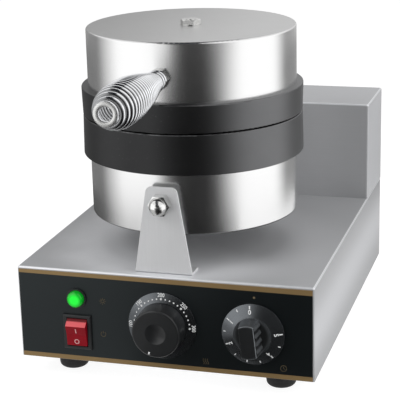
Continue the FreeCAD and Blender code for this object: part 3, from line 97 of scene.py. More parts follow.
class Wire:
    """One output of a node tree; arithmetic on wires adds Math nodes to that tree."""

    __add__, __radd__ = both_ways("ADD")
    __sub__, __rsub__ = both_ways("SUBTRACT")
    __mul__, __rmul__ = both_ways("MULTIPLY")
    __truediv__, __rtruediv__ = both_ways("DIVIDE")
    __pow__, __rpow__ = both_ways("POWER")
    __mod__, __rmod__ = both_ways("MODULO")
    __gt__, __lt__ = both_ways("GREATER_THAN")

    def __init__(self, graph, socket):
        self.graph = graph
        self.socket = socket

    def calc(self, operation, *values):
        sockets = dict(zip(("Value", "Value_001"), values))
        return self.graph.first("ShaderNodeMath", sockets, {"operation": operation})

    def __abs__(self):
        return self.calc("ABSOLUTE", self)

    def sin(self):
        return self.calc("SINE", self)

    def cos(self):
        return self.calc("COSINE", self)

    def clamped(self):
        return self.calc("MAXIMUM", self.calc("MINIMUM", self, 1.0), 0.0)


def distance(first, second):
    """How far a place is from an axis, from its two offsets."""
    return (first * first + second * second) ** 0.5


class Graph:
    """A node tree that is filled node by node."""

    def __init__(self, tree):
        self.tree = tree

    def node(self, kind, settings=(), sockets=()):
        made = self.tree.nodes.new(kind)
        for key, value in dict(settings).items():
            if key == "stops":
                self.fill_ramp(made.color_ramp, value)
            else:
                setattr(made, key, value)
        inputs = {socket.identifier: socket for socket in made.inputs}
        for key, value in dict(sockets).items():
            if isinstance(value, Wire):
                self.tree.links.new(value.socket, inputs[key])
            else:
                inputs[key].default_value = value
        return {socket.identifier: Wire(self, socket) for socket in made.outputs}

    def first(self, kind, sockets=(), settings=()):
        """The first output of a new node."""
        return next(iter(self.node(kind, settings, sockets).values()))

    @staticmethod
    def fill_ramp(ramp, stops):
        ends = (ramp.elements[0], stops[0]), (ramp.elements[-1], stops[-1])
        for element, (place, level) in ends:
            element.position = place
            element.color = (level, level, level, 1.0)
        for place, level in stops[1:-1]:
            ramp.elements.new(place).color = (level, level, level, 1.0)

    def combine(self, x, y, z):
        return self.first("ShaderNodeCombineXYZ", {"X": x, "Y": y, "Z": z})

    def axes(self, vector):
        return tuple(self.node("ShaderNodeSeparateXYZ", {}, {"Vector": vector}).values())


class Finish(Graph):
    """A material on Object coordinates, measured in millimetres."""

    def __init__(self, name):
        self.material = bpy.data.materials.new(name)
        self.material.use_nodes = True
        super().__init__(self.material.node_tree)
        self.tree.nodes.clear()
        coordinates = self.node("ShaderNodeTexCoord")
        self.normal = coordinates["Normal"]
        self.place = self.vector("SCALE", Vector=coordinates["Object"], Scale=1 / MM)

    def vector(self, operation, **sockets):
        return self.first("ShaderNodeVectorMath", sockets, {"operation": operation})

    def where(self):
        """x, y and z of a place on the surface."""
        return self.axes(self.place)

    def facing(self):
        """How far the surface there looks right, back and up."""
        return self.axes(self.normal)

    def grain(self, per_mm, detail=2.0, rough=0.5, warp=0.0):
        """Noise with that many waves in a millimetre, alike all ways or along x, y and z."""
        waves = per_mm if isinstance(per_mm, tuple) else (per_mm,) * 3
        spread = self.vector("MULTIPLY", Vector=self.place, Vector_001=waves)
        return self.node("ShaderNodeTexNoise", {}, {
            "Vector": spread, "Scale": 1.0, "Detail": detail, "Roughness": rough,
            "Distortion": warp})["Fac"]

    def span(self, value, low, high):
        """0 below low, 1 above high and a soft step between them."""
        values = {"Value": value, "From Min": low, "From Max": high}
        return self.node("ShaderNodeMapRange", {"interpolation_type": "SMOOTHSTEP"}, values)["Result"]

    def blend(self, share, first, second):
        values = {"Factor_Float": share}
        for key, tone in (("A_Color", first), ("B_Color", second)):
            values[key] = tone if isinstance(tone, Wire) else (*tone[:3], 1.0)
        return self.node("ShaderNodeMix", {"data_type": "RGBA"}, values)["Result_Color"]

    def levels(self, share, tone, low, high):
        """One colour, between two levels of it."""
        return self.blend(share, shade(tone, low), shade(tone, high))

    def moulding(self, tone):
        """Fine tooth, slow flow marks and the shades of a moulded plastic."""
        tooth = self.grain(3.2, 3.0, 0.6)
        flow = self.grain((0.06, 0.06, 0.05), 3.0, 0.5, 0.6)
        return tooth, flow, self.levels(flow * 0.7 + tooth * 0.3, tone, 0.8, 1.25)

    def relief(self, height, depth):
        return self.first("ShaderNodeBump", {"Height": height, "Distance": depth * MM, "Strength": 1.0})

    def show(self, shader):
        self.node("ShaderNodeOutputMaterial", {}, {"Surface": shader})
        return self.material

    def surface(self, **sockets):
        values = {key.replace("_", " "): value for key, value in sockets.items()}
        return self.show(self.first("ShaderNodeBsdfPrincipled", values))


def shade(tone, level):
    """A colour made darker or lighter."""
    return tuple(part * level for part in tone[:3])


def kept(name, make, *tones, **values):
    """The finish of that name, made the first time it is asked for."""
    found = bpy.data.materials.get(name)
    return found or make(name, *tones, **values)


# Finishes


def brushed_sheet(name, tone):
    """Folded stainless sheet: brush lines and smears, painted light on the deck round the drum, painted
    highlights on its folds, and painted shade on the deck, flanks and fronts.
    """
    finish = Finish(name)
    across, ahead, above = (abs(part) for part in finish.facing())
    x, y, z = finish.where()
    behind = y - DRUM_Y / MM
    # Painted highlight on the rounded folds between the top and the faces below it.
    fold_highlight = finish.span((ahead + across) * above, 0.12, 0.38)
    flank = finish.span(across, 0.6, 0.8)
    level = finish.grain((0.02, 2.2, 2.2), 4.0, 0.6)
    upright = finish.grain((2.2, 2.2, 0.02), 4.0, 0.6)
    lines = level * (1 - flank) + upright * flank
    smear = finish.grain((0.011, 0.011, 0.014), 3.0, 0.55, 0.4)
    # Painted shade darkens the whole deck, and painted light brightens it round the drum, mostly before
    # and left of it, with a stronger painted light just before the drum that lifts its shadow there.
    reach = distance(x, behind)
    deck = finish.span(above, 0.7, 0.9) * (1 - finish.span(z, 150, 160))
    near = 1 - finish.span(reach + smear * 40.0, 95, 165)
    drum_light = near * (1 - finish.span(x, 10, 80) * 0.75) * deck
    bright = finish.span((0 - behind) / reach, 0.4, 0.9) * (1 - finish.span(reach, 85, 135)) * deck
    plain = finish.levels(lines * 0.5 + smear * 0.5, tone, 0.78, 1.12)
    deck_shaded = finish.blend(deck * 0.5, plain, shade(tone, 0.62))
    toned = finish.blend(drum_light * 0.95, deck_shaded, shade(tone, 1.62))
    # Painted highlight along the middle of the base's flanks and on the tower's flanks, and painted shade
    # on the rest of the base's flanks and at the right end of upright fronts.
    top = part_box("base_housing")[1].z / MM
    belly = finish.span(z, 18, 58) * (1 - finish.span(z, 62, top)) + finish.span(z, top - 0.6, top)
    front_end = finish.span(ahead, 0.6, 0.8) * finish.span(x, 70, 132)
    lighter = finish.blend(flank * belly * 0.5, toned, shade(tone, 1.3))
    even = finish.blend(flank * (1 - belly) * 0.4 + front_end * 0.45, lighter, shade(tone, 0.5))
    lit = finish.blend(bright * 0.5, even, shade(tone, 1.75))
    return finish.surface(
        Base_Color=finish.blend(fold_highlight, lit, shade(tone, 1.7)),
        Metallic=0.20 + fold_highlight * 0.4,
        Roughness=0.44 + lines * 0.08 + smear * 0.12 - fold_highlight * 0.2,
        Normal=finish.relief(lines, 0.004),
    )


def polished_can(name, tone):
    """Drawn steel can: polished wall with faint turning lines, and a duller brushed end painted darker
    than the wall as shade, with a painted light that rises from left to right; painted shade where the
    surface looks down.
    """
    finish = Finish(name)
    x, y, _ = finish.where()
    up = finish.facing()[2]
    rings = finish.node("ShaderNodeTexNoise", {"noise_dimensions": "1D"}, {
        "W": distance(x, y - DRUM_Y / MM) * 1.9, "Scale": 1.0, "Detail": 4.0})["Fac"]
    turning = finish.grain((0.01, 0.01, 2.6), 4.0, 0.6)
    smear = finish.grain((0.03, 0.03, 0.02), 4.0, 0.6, 0.8)
    end = finish.span(abs(up), 0.75, 0.95)
    # Painted shade where the surface looks down; the end is painted darker than the wall as shade, with a
    # painted light rising from left to right.
    under = finish.span(0 - up, 0.05, 0.4)
    wall = finish.levels(turning * 0.6 + smear * 0.4, tone, 0.92, 1.04)
    lid_light_ramp = finish.span(x, -90, 70) * 0.6
    lid = finish.levels(lid_light_ramp + rings * 0.2 + smear * 0.2, tone, 0.50, 0.78)
    return finish.surface(
        Base_Color=finish.blend(under * 0.8, finish.blend(end, wall, lid), shade(tone, 0.15)),
        Metallic=1.0,
        Roughness=(0.17 + turning * 0.05 + smear * 0.06) * (1 - end) + (0.28 + rings * 0.10) * end,
        Normal=finish.relief(turning * (1 - end) + rings * end, 0.002),
    )


def coated_casting(name, tone):
    """Cast iron under a baked dark coat: fine orange peel, sparse pits, painted shade towards the left
    and painted highlights on the rims.
    """
    finish = Finish(name)
    x, y, _ = finish.where()
    level = abs(finish.facing()[2])
    peel = finish.grain(1.1, 3.0, 0.55)
    grit = finish.span(finish.grain(0.55), 0.66, 0.74)
    cloud = finish.grain((0.03, 0.03, 0.05), 3.0)
    # Painted highlights on the edges of the rims, broken up by a noise.
    rim = finish.span(distance(x, y - DRUM_Y / MM), 90, 94)
    edge = finish.span(level, 0.15, 0.5) * (1 - finish.span(level, 0.85, 0.97)) * rim
    edge_highlight = edge * finish.span(finish.grain((0.10, 0.10, 0.4), 3.0), 0.35, 0.6)
    drift = finish.grain(0.012, 0.0)
    # Painted shade that darkens the plates from the right towards the left, easing off a little at the
    # far left.
    left_shade = (1 - finish.span(x + drift * 30.0, -12, 115)) * (0.83 - finish.span(0 - x, 25, 90) * 0.28)
    toned = finish.levels(cloud * 0.9 + peel * 0.1, tone, 1.15, 1.35)
    left_shaded = finish.blend(left_shade, toned, shade(tone, 0.10))
    return finish.surface(
        Base_Color=finish.blend(edge_highlight * 0.5 + grit * 0.15, left_shaded, shade(tone, 1.8)),
        Metallic=1.0,
        Roughness=0.34 + drift * 0.06 + peel * 0.02,
        Normal=finish.relief(peel * 0.8 - grit, 0.005),
    )


def satin_bracket(name, tone):
    """Blasted steel strip: fine even tooth, faint drawn lines and painted highlights on its cut edges."""
    finish = Finish(name)
    # Painted highlight on the faces that look left or right, the cut edges of the strip.
    cut = finish.span(abs(finish.facing()[0]), 0.6, 0.9)
    tooth = finish.grain(2.6)
    drawn = finish.grain((1.4, 1.4, 0.03), 3.0, 0.6)
    stain = finish.grain(0.03, 3.0)
    face = finish.levels(drawn * 0.5 + stain * 0.5, tone, 0.9, 1.1)
    return finish.surface(
        Base_Color=finish.blend(cut, face, shade(tone, 1.25)),
        Metallic=0.40,
        Roughness=0.42 + tooth * 0.08 + stain * 0.06,
        Normal=finish.relief(tooth, 0.012),
    )


def plated_metal(name, tone, rough, depth):
    """Nickel or zinc plate on turned steel: bright, with faint turning marks and cloud."""
    finish = Finish(name)
    cloud = finish.grain(0.16, 3.0)
    turning = finish.grain((3.0, 0.2, 3.0), 3.0, 0.6)
    return finish.surface(
        Base_Color=finish.levels(cloud, tone, 0.86, 1.08),
        Metallic=1.0,
        Roughness=rough + cloud * 0.08 + turning * 0.04,
        Normal=finish.relief(turning, depth),
    )


def printed_fascia(name, ground, band):
    """Dark lacquered plate with a printed warm metal band along its foot and its head."""
    finish = Finish(name)
    x, _, z = finish.where()
    low, high = (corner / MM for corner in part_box("control_fascia"))
    # The band at the head is a little deeper at its right end than at its left.
    depth = 3.8 + x / high.x * 0.7
    foot = 1 - finish.span(z - low.z, 3.9, 4.2)
    head = 1 - finish.span(high.z - z - depth, -0.15, 0.15)
    printed = (foot + head).clamped()
    weave = finish.grain(5.0)
    cloud = finish.grain((0.012, 0.012, 0.02), 3.0)
    lacquer = finish.levels(cloud * 0.8 + weave * 0.2, ground, 0.8, 1.3)
    metal = finish.levels(cloud * 0.6 + weave * 0.4, band, 0.85, 1.15)
    return finish.surface(
        Base_Color=finish.blend(printed, lacquer, metal),
        Metallic=printed * 0.35,
        Roughness=0.30 + cloud * 0.10 + weave * 0.04 + printed * 0.08,
        Specular_Tint=(0.88, 0.98, 1.0, 1.0),
        Normal=finish.relief(weave, 0.004),
    )


def moulded_plastic(name, tone, rough, depth=0.02):
    """Spark textured moulding: a fine tooth, a trace of flow and handling shine."""
    finish = Finish(name)
    tooth, flow, plain = finish.moulding(tone)
    return finish.surface(
        Base_Color=plain,
        Roughness=rough + flow * 0.10 - tooth * 0.04,
        Normal=finish.relief(tooth, depth),
    )


def rubbed_plastic(name, tone):
    """Black plastic of the ribs, with a painted highlight where a facet looks upwards, broken up by its
    tooth.
    """
    finish = Finish(name)
    tooth = finish.grain(3.2, 3.0, 0.6)
    # Painted highlight on the facets that look upwards.
    upward_highlight = finish.span(finish.facing()[2], 0.08, 0.40) * finish.span(tooth, 0.3, 0.6)
    return finish.surface(
        Base_Color=finish.blend(upward_highlight, tone, shade(tone, 5.5)),
        Roughness=0.30 + tooth * 0.06,
        Normal=finish.relief(tooth, 0.008),
    )


def dial_plastic(name, tone, joint, inner):
    """Knob plastic whose dial, outside an inner radius, has a dark metallic film, with painted highlights
    on the grip's edges that look right or up and on the upper right of its rim.
    """
    finish = Finish(name)
    centre = Vector(JOINTS[joint]["pos_m"]) / MM
    x, y, z = finish.where()
    right, inward, up = finish.facing()
    tooth, flow, plain = finish.moulding(tone)
    radius = distance(x - centre.x, z - centre.z)
    film = finish.span(radius, inner - 2.5, inner + 2.5)
    metal = finish.levels(flow * 0.5 + tooth * 0.5, tone, 9.5, 13.0)
    # Painted highlights on the grip's edges that look right or up, and on the rim's upper right.
    face = FASCIA_FACE / MM
    raised = 1 - finish.span(y, face - 14, face - 12)
    edge = finish.span((right.clamped() + up.clamped()) * abs(inward), 0.20, 0.45) * raised
    outer = half_width(DIALS[joint]) / MM
    rim = finish.span(radius, outer - 0.7, outer - 0.4) * finish.span(x - centre.x, 4, 18)
    edge_highlight = (edge + rim * finish.span(z - centre.z, -8, 8)).clamped()
    return finish.surface(
        Base_Color=finish.blend(edge_highlight * 0.8, finish.blend(film, plain, metal), shade(tone, 18.0)),
        Metallic=film * 0.95,
        Roughness=0.31 + flow * 0.08 - tooth * 0.04 - film * 0.08,
        Normal=finish.relief(tooth, 0.006),
    )


def rubber(name, tone):
    """Soft black rubber: matt, dusty in its texture."""
    finish = Finish(name)
    texture = finish.grain(1.8, 4.0, 0.6)
    dust = finish.span(finish.grain(0.2, 4.0), 0.5, 0.75)
    return finish.surface(
        Base_Color=finish.blend(dust * 0.5, tone, shade(tone, 2.4)),
        Roughness=0.68 + texture * 0.16,
        Normal=finish.relief(texture, 0.05),
    )


def glossy_red(name, tone):
    """Clear red moulding of the rocker: deep red as painted shade, and glossy on the facet that looks up,
    which has a pale red as painted light and painted shade where it sinks into the bezel.
    """
    finish = Finish(name)
    # Painted light and shade: a pale red on the facet that looks up, a darker red elsewhere, and painted
    # shade where the facet sinks into the bezel.
    facet = finish.span(finish.facing()[2], 0.15, 0.6)
    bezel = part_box("switch_body")[0].y / MM
    sunk = finish.span(finish.where()[1], bezel - 2.0, bezel - 0.9)
    flow = finish.grain(0.08, 3.0, 0.5, 0.5)
    tooth = finish.grain(2.5)
    deep = finish.levels(flow, tone, 0.42, 0.58)
    pale = finish.blend(flow, (0.70, 0.085, 0.10), (0.80, 0.12, 0.135))
    bright = finish.blend(sunk * 0.9, pale, shade(tone, 0.10))
    return finish.surface(
        Base_Color=finish.blend(facet, deep, bright),
        Roughness=0.26 + flow * 0.06 + tooth * 0.04,
        Specular_IOR_Level=0.15,
        Coat_Weight=facet * (1 - sunk) * 0.7,
        Coat_Roughness=0.12,
        Normal=finish.relief(tooth, 0.003),
    )


def lit_lens(name, tone):
    """Green lamp lens that is lit: brightest in its middle, with a fine prism pattern."""
    finish = Finish(name)
    centre = middle("indicator_lens") / MM
    x, _, z = finish.where()
    prisms = finish.grain(1.6)
    core = 1 - finish.span(distance(x - centre.x, z - centre.z), 2.5, 7.2)
    return finish.surface(
        Base_Color=finish.blend(core * 0.6 + prisms * 0.2, shade(tone, 0.3), tone),
        Roughness=0.10 + prisms * 0.08,
        Emission_Color=finish.levels(core + prisms * 0.1, tone, 0.14, 1.08),
        Emission_Strength=0.8,
        Normal=finish.relief(prisms, 0.02),
    )


def chrome_wire(name, tone):
    """Bright plated spring wire, with painted shade on the sides of each turn that face the next, more of
    it inside the coil, where the wire is also less metallic.
    """
    finish = Finish(name)
    patch = finish.grain(0.05, 4.0, 0.6)
    fine = finish.grain(0.9, 3.0)
    x, _, z = finish.where()
    across, along, above = finish.facing()
    rise = z - HANDLE_HEIGHT / MM
    outwards = (across * x + above * rise) / distance(x, rise)
    inner = 1 - finish.span(outwards, -0.5, -0.1)
    # Painted shade on the sides of the wire that face the next turn, stronger inside the coil.
    turn_gap_shade = finish.span(abs(along), 0.38, 0.74) * (0.66 + inner * 0.25)
    plating = finish.levels(patch, tone, 0.98, 1.12)
    return finish.surface(
        Base_Color=finish.blend(turn_gap_shade, plating, shade(tone, 0.03)),
        Metallic=1 - inner * 0.75,
        Roughness=0.10 + patch * 0.08 + fine * 0.04 + turn_gap_shade * 0.12,
        Normal=finish.relief(fine, 0.006),
    )


def ground_face(name, tone):
    """End of the spring, ground flat: matt, with crossing grinding marks."""
    finish = Finish(name)
    one = finish.grain((4.0, 4.0, 0.3), 3.0)
    two = finish.grain((0.3, 4.0, 4.0), 3.0)
    return finish.surface(
        Base_Color=finish.levels(one * 0.5 + two * 0.5, tone, 0.8, 1.15),
        Metallic=1.0,
        Roughness=0.42 + one * 0.14,
        Normal=finish.relief(one + two, 0.02),
    )


def sheathed_heater(name, tone, straw):
    """Heater tube sheath, blued and straw coloured by heat."""
    finish = Finish(name)
    heat = finish.grain(0.05, 3.0, 0.5, 0.5)
    scale = finish.grain(1.2, 3.0)
    return finish.surface(
        Base_Color=finish.blend(finish.span(heat, 0.35, 0.65), tone, straw),
        Metallic=0.9,
        Roughness=0.38 + scale * 0.2,
        Normal=finish.relief(scale, 0.02),
    )


def print_ink(name, tone, rough):
    """Screen printed ink with an uneven film."""
    finish = Finish(name)
    film = finish.grain(2.4, 3.0, 0.6)
    wear = finish.span(finish.grain(0.9, 3.0), 0.62, 0.8)
    fresh = finish.levels(film, tone, 0.86, 1.0)
    return finish.surface(
        Base_Color=finish.blend(wear * 0.35, fresh, shade(tone, 0.6)),
        Roughness=rough + film * 0.12,
        Normal=finish.relief(film, 0.004),
    )


# Meshes


def linked(name, data):
    """A new object in the scene."""
    made = bpy.data.objects.new(name, data)
    bpy.context.collection.objects.link(made)
    return made


def drop(helper):
    """Removes a helper object and its data."""
    data = helper.data
    bpy.data.objects.remove(helper)
    store = bpy.data.meshes if isinstance(data, bpy.types.Mesh) else bpy.data.curves
    store.remove(data)


def evaluated(made):
    """The plain mesh of an object after its modifiers; the object is used up."""
    graph = bpy.context.evaluated_depsgraph_get()
    mesh = bpy.data.meshes.new_from_object(made.evaluated_get(graph))
    drop(made)
    return mesh


def as_mesh(name, shape, materials=(), smooth=True):
    """A mesh from a bmesh, with shared points merged and faces looking outwards."""
    bmesh.ops.remove_doubles(shape, verts=shape.verts, dist=TOUCHING / 10)
    bmesh.ops.recalc_face_normals(shape, faces=shape.faces)
    for face in shape.faces:
        face.smooth = smooth
    mesh = bpy.data.meshes.new(name)
    shape.to_mesh(mesh)
    shape.free()
    for material in materials:
        mesh.materials.append(material)
    return mesh


def as_piece(name, mesh, body, replaced=()):
    """A finished piece at the origin that rides a body."""
    if not mesh.polygons:
        raise RuntimeError(f"{name} has no faces")
    piece = linked(name, mesh)
    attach(piece, body)
    if replaced:
        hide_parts(*replaced)
    return piece


def opened(mesh):
    """A bmesh of a mesh."""
    shape = bmesh.new()
    shape.from_mesh(mesh)
    return shape


def merged_copy(node):
    """A bmesh of a CAD node, with its loose triangles joined."""
    shape = opened(frame["nodes"][node].data)
    bmesh.ops.remove_doubles(shape, verts=shape.verts, dist=TOUCHING)
    return shape


def turned(shape, outline, steps, closed=False):
    """Turns an outline of (radius, height) points round local z into a bmesh."""
    angles = [2 * math.pi * step / steps for step in range(steps)]
    circle = [(math.cos(angle), math.sin(angle)) for angle in angles]
    rows = []
    for radius, height in outline:
        around = circle if radius else circle[:1]
        rows.append([shape.verts.new((radius * x, radius * y, height)) for x, y in around])
    pairs = list(zip(rows, rows[1:]))
    if closed:
        pairs.append((rows[-1], rows[0]))
    for low, high in pairs:
        for step in range(steps):
            after = (step + 1) % steps
            ring = (low[step % len(low)], low[after % len(low)],
                    high[after % len(high)], high[step % len(high)])
            shape.faces.new(list(dict.fromkeys(ring)))
    return shape


def quad(shape, *corners):
    shape.faces.new([shape.verts.new(corner) for corner in corners])


def prism(low, high):
    """A closed bmesh between two outlines of as many (x, y, z) points."""
    shape = bmesh.new()
    count = len(low)
    points = [shape.verts.new(corner) for corner in (*low, *high)]
    for step in range(count):
        after = (step + 1) % count
        shape.faces.new([points[index] for index in (step, after, count + after, count + step)])
    shape.faces.new(points[:count][::-1])
    shape.faces.new(points[count:])
    return shape


def level_prism(outline, low, high):
    """A closed bmesh over an outline of (x, y) points."""
    return prism(*([(x, y, z) for x, y in outline] for z in (low, high)))


def printed_bar(half_wide, half_high, film):
    """A flat printed bar round the origin."""
    outline = ((-half_wide, -half_high), (half_wide, -half_high), (half_wide, half_high),
               (-half_wide, half_high))
    return level_prism(outline, -film, film)


def printed_dot(radius, flat, edge, film, steps):
    """A flat printed dot round the origin, with its edge eased from the outside to its flat."""
    outline = [(0, -film), (radius, -film), (radius, film * edge), (flat, film), (0, film)]
    return turned(bmesh.new(), outline, steps)


def corners_of(points):
    """Lowest and highest corner of a set of points."""
    return tuple(Vector([pick(point.co[axis] for point in points) for axis in range(3)])
                 for pick in (min, max))


def lettering(text, height, depth, weight):
    """Letters as a closed mesh, centred on the origin in the xy plane."""
    words = bpy.data.curves.new("lettering", "FONT")
    words.body = text
    words.size = 1.0
    words.offset = weight
    words.extrude = 0.5
    words.resolution_u = 4
    mesh = evaluated(linked("lettering", words))
    low, high = corners_of(mesh.vertices)
    scale = height / (high.y - low.y)
    centred = Matrix.Translation((low + high) / -2)
    mesh.transform(Matrix.Diagonal((scale, scale, depth, 1)) @ centred)
    return mesh


def gathered(parts):
    """One bmesh out of several (mesh, matrix) pairs; the meshes are used up."""
    shape = bmesh.new()
    for mesh, matrix in parts:
        mesh.transform(matrix)
        shape.from_mesh(mesh)
        bpy.data.meshes.remove(mesh)
    return shape


def stroke(points, width, closed):
    """A printed line through (x, y) points, as a closed mesh."""
    line = bpy.data.curves.new("stroke", "CURVE")
    line.dimensions = "3D"
    line.bevel_depth = width / 2
    line.bevel_resolution = 1
    line.use_fill_caps = True
    run = line.splines.new("POLY")
    run.points.add(len(points) - 1)
    run.use_cyclic_u = closed
    for point, (x, y) in zip(run.points, points):
        point.co = (x, y, 0, 1)
    return evaluated(linked("stroke", line))


def arc(radius, first, last, steps):
    """Points on an arc; angles in degrees clockwise from the top."""
    angles = [math.radians(first + (last - first) * step / (steps - 1)) for step in range(steps)]
    return [(radius * math.sin(a), radius * math.cos(a)) for a in angles]


def on_fascia(x, z):
    """Place of a print on the control plate, from millimetres."""
    return Matrix.Translation((x * MM, FASCIA_FACE, z * MM)) @ FRONT


# Geometry node trees


class Recipe(Graph):
    """A geometry node group with named inputs, run once on a scratch object."""

    def __init__(self, name, **inputs):
        tree = bpy.data.node_groups.new(name, "GeometryNodeTree")
        super().__init__(tree)
        face = tree.interface
        face.new_socket("Geometry", in_out="INPUT", socket_type="NodeSocketGeometry")
        face.new_socket("Geometry", in_out="OUTPUT", socket_type="NodeSocketGeometry")
        self.keys = {}
        for kind, labels in {**inputs, "Material": ("Material",)}.items():
            for label in labels:
                made = face.new_socket(label, in_out="INPUT", socket_type="NodeSocket" + kind)
                self.keys[label] = made.identifier
        given = self.node("NodeGroupInput")
        self.source = next(iter(given.values()))
        self.given = {label: given[key] for label, key in self.keys.items()}

    def geo(self, kind, sockets=(), settings=()):
        return self.first("GeometryNode" + kind, sockets, settings)

    def copies(self, points, helper, euler, **sockets):
        """Copies of the helper object of that input, set on points."""
        shape = self.node("GeometryNodeObjectInfo", {}, {"Object": self.given[helper]})["Geometry"]
        turn = self.first("FunctionNodeEulerToRotation", {"Euler": euler})
        return self.geo("InstanceOnPoints", {
            "Points": points, "Instance": shape, "Rotation": turn, **sockets})

    def close(self, geometry):
        real = self.geo("RealizeInstances", {"Geometry": geometry})
        soft = self.geo("SetShadeSmooth", {"Geometry": real, "Shade Smooth": True})
        painted = self.geo("SetMaterial", {"Geometry": soft, "Material": self.given["Material"]})
        output = self.tree.nodes.new("NodeGroupOutput")
        self.tree.links.new(painted.socket, output.inputs[0])
        return self

    def run(self, points=((0, 0, 0),), **values):
        """The finished mesh on the given points, with the inputs set by their names."""
        base = bpy.data.meshes.new("places")
        base.from_pydata([tuple(point) for point in points], [], [])
        holder = linked("scratch", base)
        modifier = holder.modifiers.new("recipe", "NODES")
        modifier.node_group = self.tree
        for label, value in values.items():
            modifier[self.keys[label.replace("_", " ")]] = value
        return evaluated(holder)


def coil_recipe():
    """Wire wound on a barrel outline: straight neck, swell to a crest, then a taper."""
    recipe = Recipe("wound_handle", Int=("Steps", "Sides"), Float=(
        "Wire Radius", "Pitch", "Turns", "Neck Turns", "Crest Turn", "Neck Radius", "Widest Radius",
        "End Radius", "Nose"))
    take = recipe.given
    neck, crest, widest = take["Neck Turns"], take["Crest Turn"], take["Widest Radius"]
    line = recipe.geo("CurvePrimitiveLine")
    count = take["Turns"] * take["Steps"] + 1.0
    wound = recipe.geo("ResampleCurve", {"Curve": line, "Count": count}, {"mode": "COUNT"})
    turn = recipe.geo("InputIndex") / take["Steps"]
    rise = ((turn - neck) / (crest - neck)).clamped()
    fall = ((turn - crest) / (take["Turns"] - crest)).clamped()
    swell = take["Neck Radius"] + (widest - take["Neck Radius"]) * (rise * (math.pi / 2)).sin()
    taper = take["End Radius"] + (widest - take["End Radius"]) * (1 - fall ** 3.0)
    past = turn > crest
    radius = swell * (1 - past) + taper * past
    angle = turn * (2 * math.pi)
    ahead = take["Nose"] + take["Pitch"] * turn
    place = recipe.combine(radius * angle.cos(), radius * angle.sin(), ahead)
    path = recipe.geo("SetPosition", {"Geometry": wound, "Position": place})
    section = recipe.geo("CurvePrimitiveCircle", {
        "Radius": take["Wire Radius"], "Resolution": take["Sides"]})
    return recipe.close(recipe.geo("CurveToMesh", {
        "Curve": path, "Profile Curve": section, "Fill Caps": True}))


def marks_recipe():
    """Marks set round a coned dial at even angles, every so many of them full size."""
    recipe = Recipe("dial_marks", Object=("Mark",), Int=("Count", "Every"), Float=(
        "First Angle", "Step Angle", "Radius", "Height", "Tilt", "Minor Width", "Minor Length"))
    take = recipe.given
    row = recipe.geo("MeshLine", {"Count": take["Count"]})
    index = recipe.geo("InputIndex")
    angle = take["First Angle"] + take["Step Angle"] * index
    spot = recipe.combine(take["Radius"] * angle.sin(), take["Radius"] * angle.cos(), take["Height"])
    points = recipe.geo("SetPosition", {"Geometry": row, "Position": spot})
    minor = ((index % take["Every"]) > 0.5) * 1.0
    wide, long = (1 - minor * (1 - take[label]) for label in ("Minor Width", "Minor Length"))
    turn = recipe.combine(0 - take["Tilt"], 0.0, 0 - angle)
    return recipe.close(recipe.copies(points, "Mark", turn, Scale=recipe.combine(wide, long, 1.0)))


def copies_recipe():
    """One shape set on given points, all facing one way."""
    recipe = Recipe("set_copies", Object=("Shape",), Vector=("Facing",))
    return recipe.close(recipe.copies(recipe.source, "Shape", recipe.given["Facing"]))


def island_boxes(node):
    """Lowest and highest corner of each separate solid of a CAD node."""
    shape = merged_copy(node)
    left = set(shape.verts)
    boxes = []
    while left:
        group, edge = set(), [left.pop()]
        while edge:
            vert = edge.pop()
            group.add(vert)
            near = {link.other_vert(vert) for link in vert.link_edges} & left
            left -= near
            edge.extend(near)
        boxes.append(corners_of(group))
    shape.free()
    return sorted(boxes, key=lambda pair: tuple(round(part, 5) for part in pair[0]))


# Settings


def length(label, words, millimetres):
    return FloatProperty(name=label, description=words, default=millimetres * MM, unit="LENGTH")


def power(label, words, watts):
    return FloatProperty(name=label, description=words, default=watts, unit="POWER")


def colour(label, words, value):
    return FloatVectorProperty(name=label, description=words, default=value, subtype="COLOR",
                               size=3, min=0.0, max=1.0)


class HandleSizes(PropertyGroup):
    """Sizes of the spring handle."""

    wire: length("Wire", "Thickness of the spring wire", 4.6)
    pitch: length("Pitch", "Distance from turn to turn", 5.15)
    turns: IntProperty(name="Turns", description="Number of turns", default=23, min=8)
    neck_turns: FloatProperty(name="Neck turns", description="Turns that grip the stud", default=2.2)
    crest_turn: FloatProperty(name="Crest turn", description="Turn at the widest place", default=16.33)
    stud: length("Stud radius", "Radius of the stud inside the neck", 4.25)
    barrel: length("Barrel", "Outer size at the widest place", 35.4)
    end: length("End", "Outer size of the last turn", 19.8)
    nose: length("Nose", "From the can to the first turn's edge", 7.25)


class DialSizes(PropertyGroup):
    """Sizes of the printed scales, the knob marks and the ribs."""

    dot_radius: length("Dot circle", "Radius of the circle of dots", 24.5)
    number_radius: length("Number circle", "Radius of the dial numbers", 27.8)
    number_height: length("Number height", "Height of the dial numbers", 3.3)
    tick_radius: length("Tick circle", "Radius of the timer ticks", 24.0)
    hour_radius: length("Hour circle", "Radius of the timer numbers", 20.4)
    hour_height: length("Hour height", "Height of the timer numbers", 3.9)
    rib_pitch: length("Rib pitch", "Distance between the ribs of the grip", 6.6)
    film: length("Film", "How far print stands off its surface", 0.08)


class ScrewSizes(PropertyGroup):
    """Sizes of the cross recess screws."""

    recess: length("Recess", "Length of the cross recess", 4.4)
    slot: length("Slot", "Width of the cross recess", 1.0)
    depth: length("Depth", "Depth of the cross recess", 1.1)


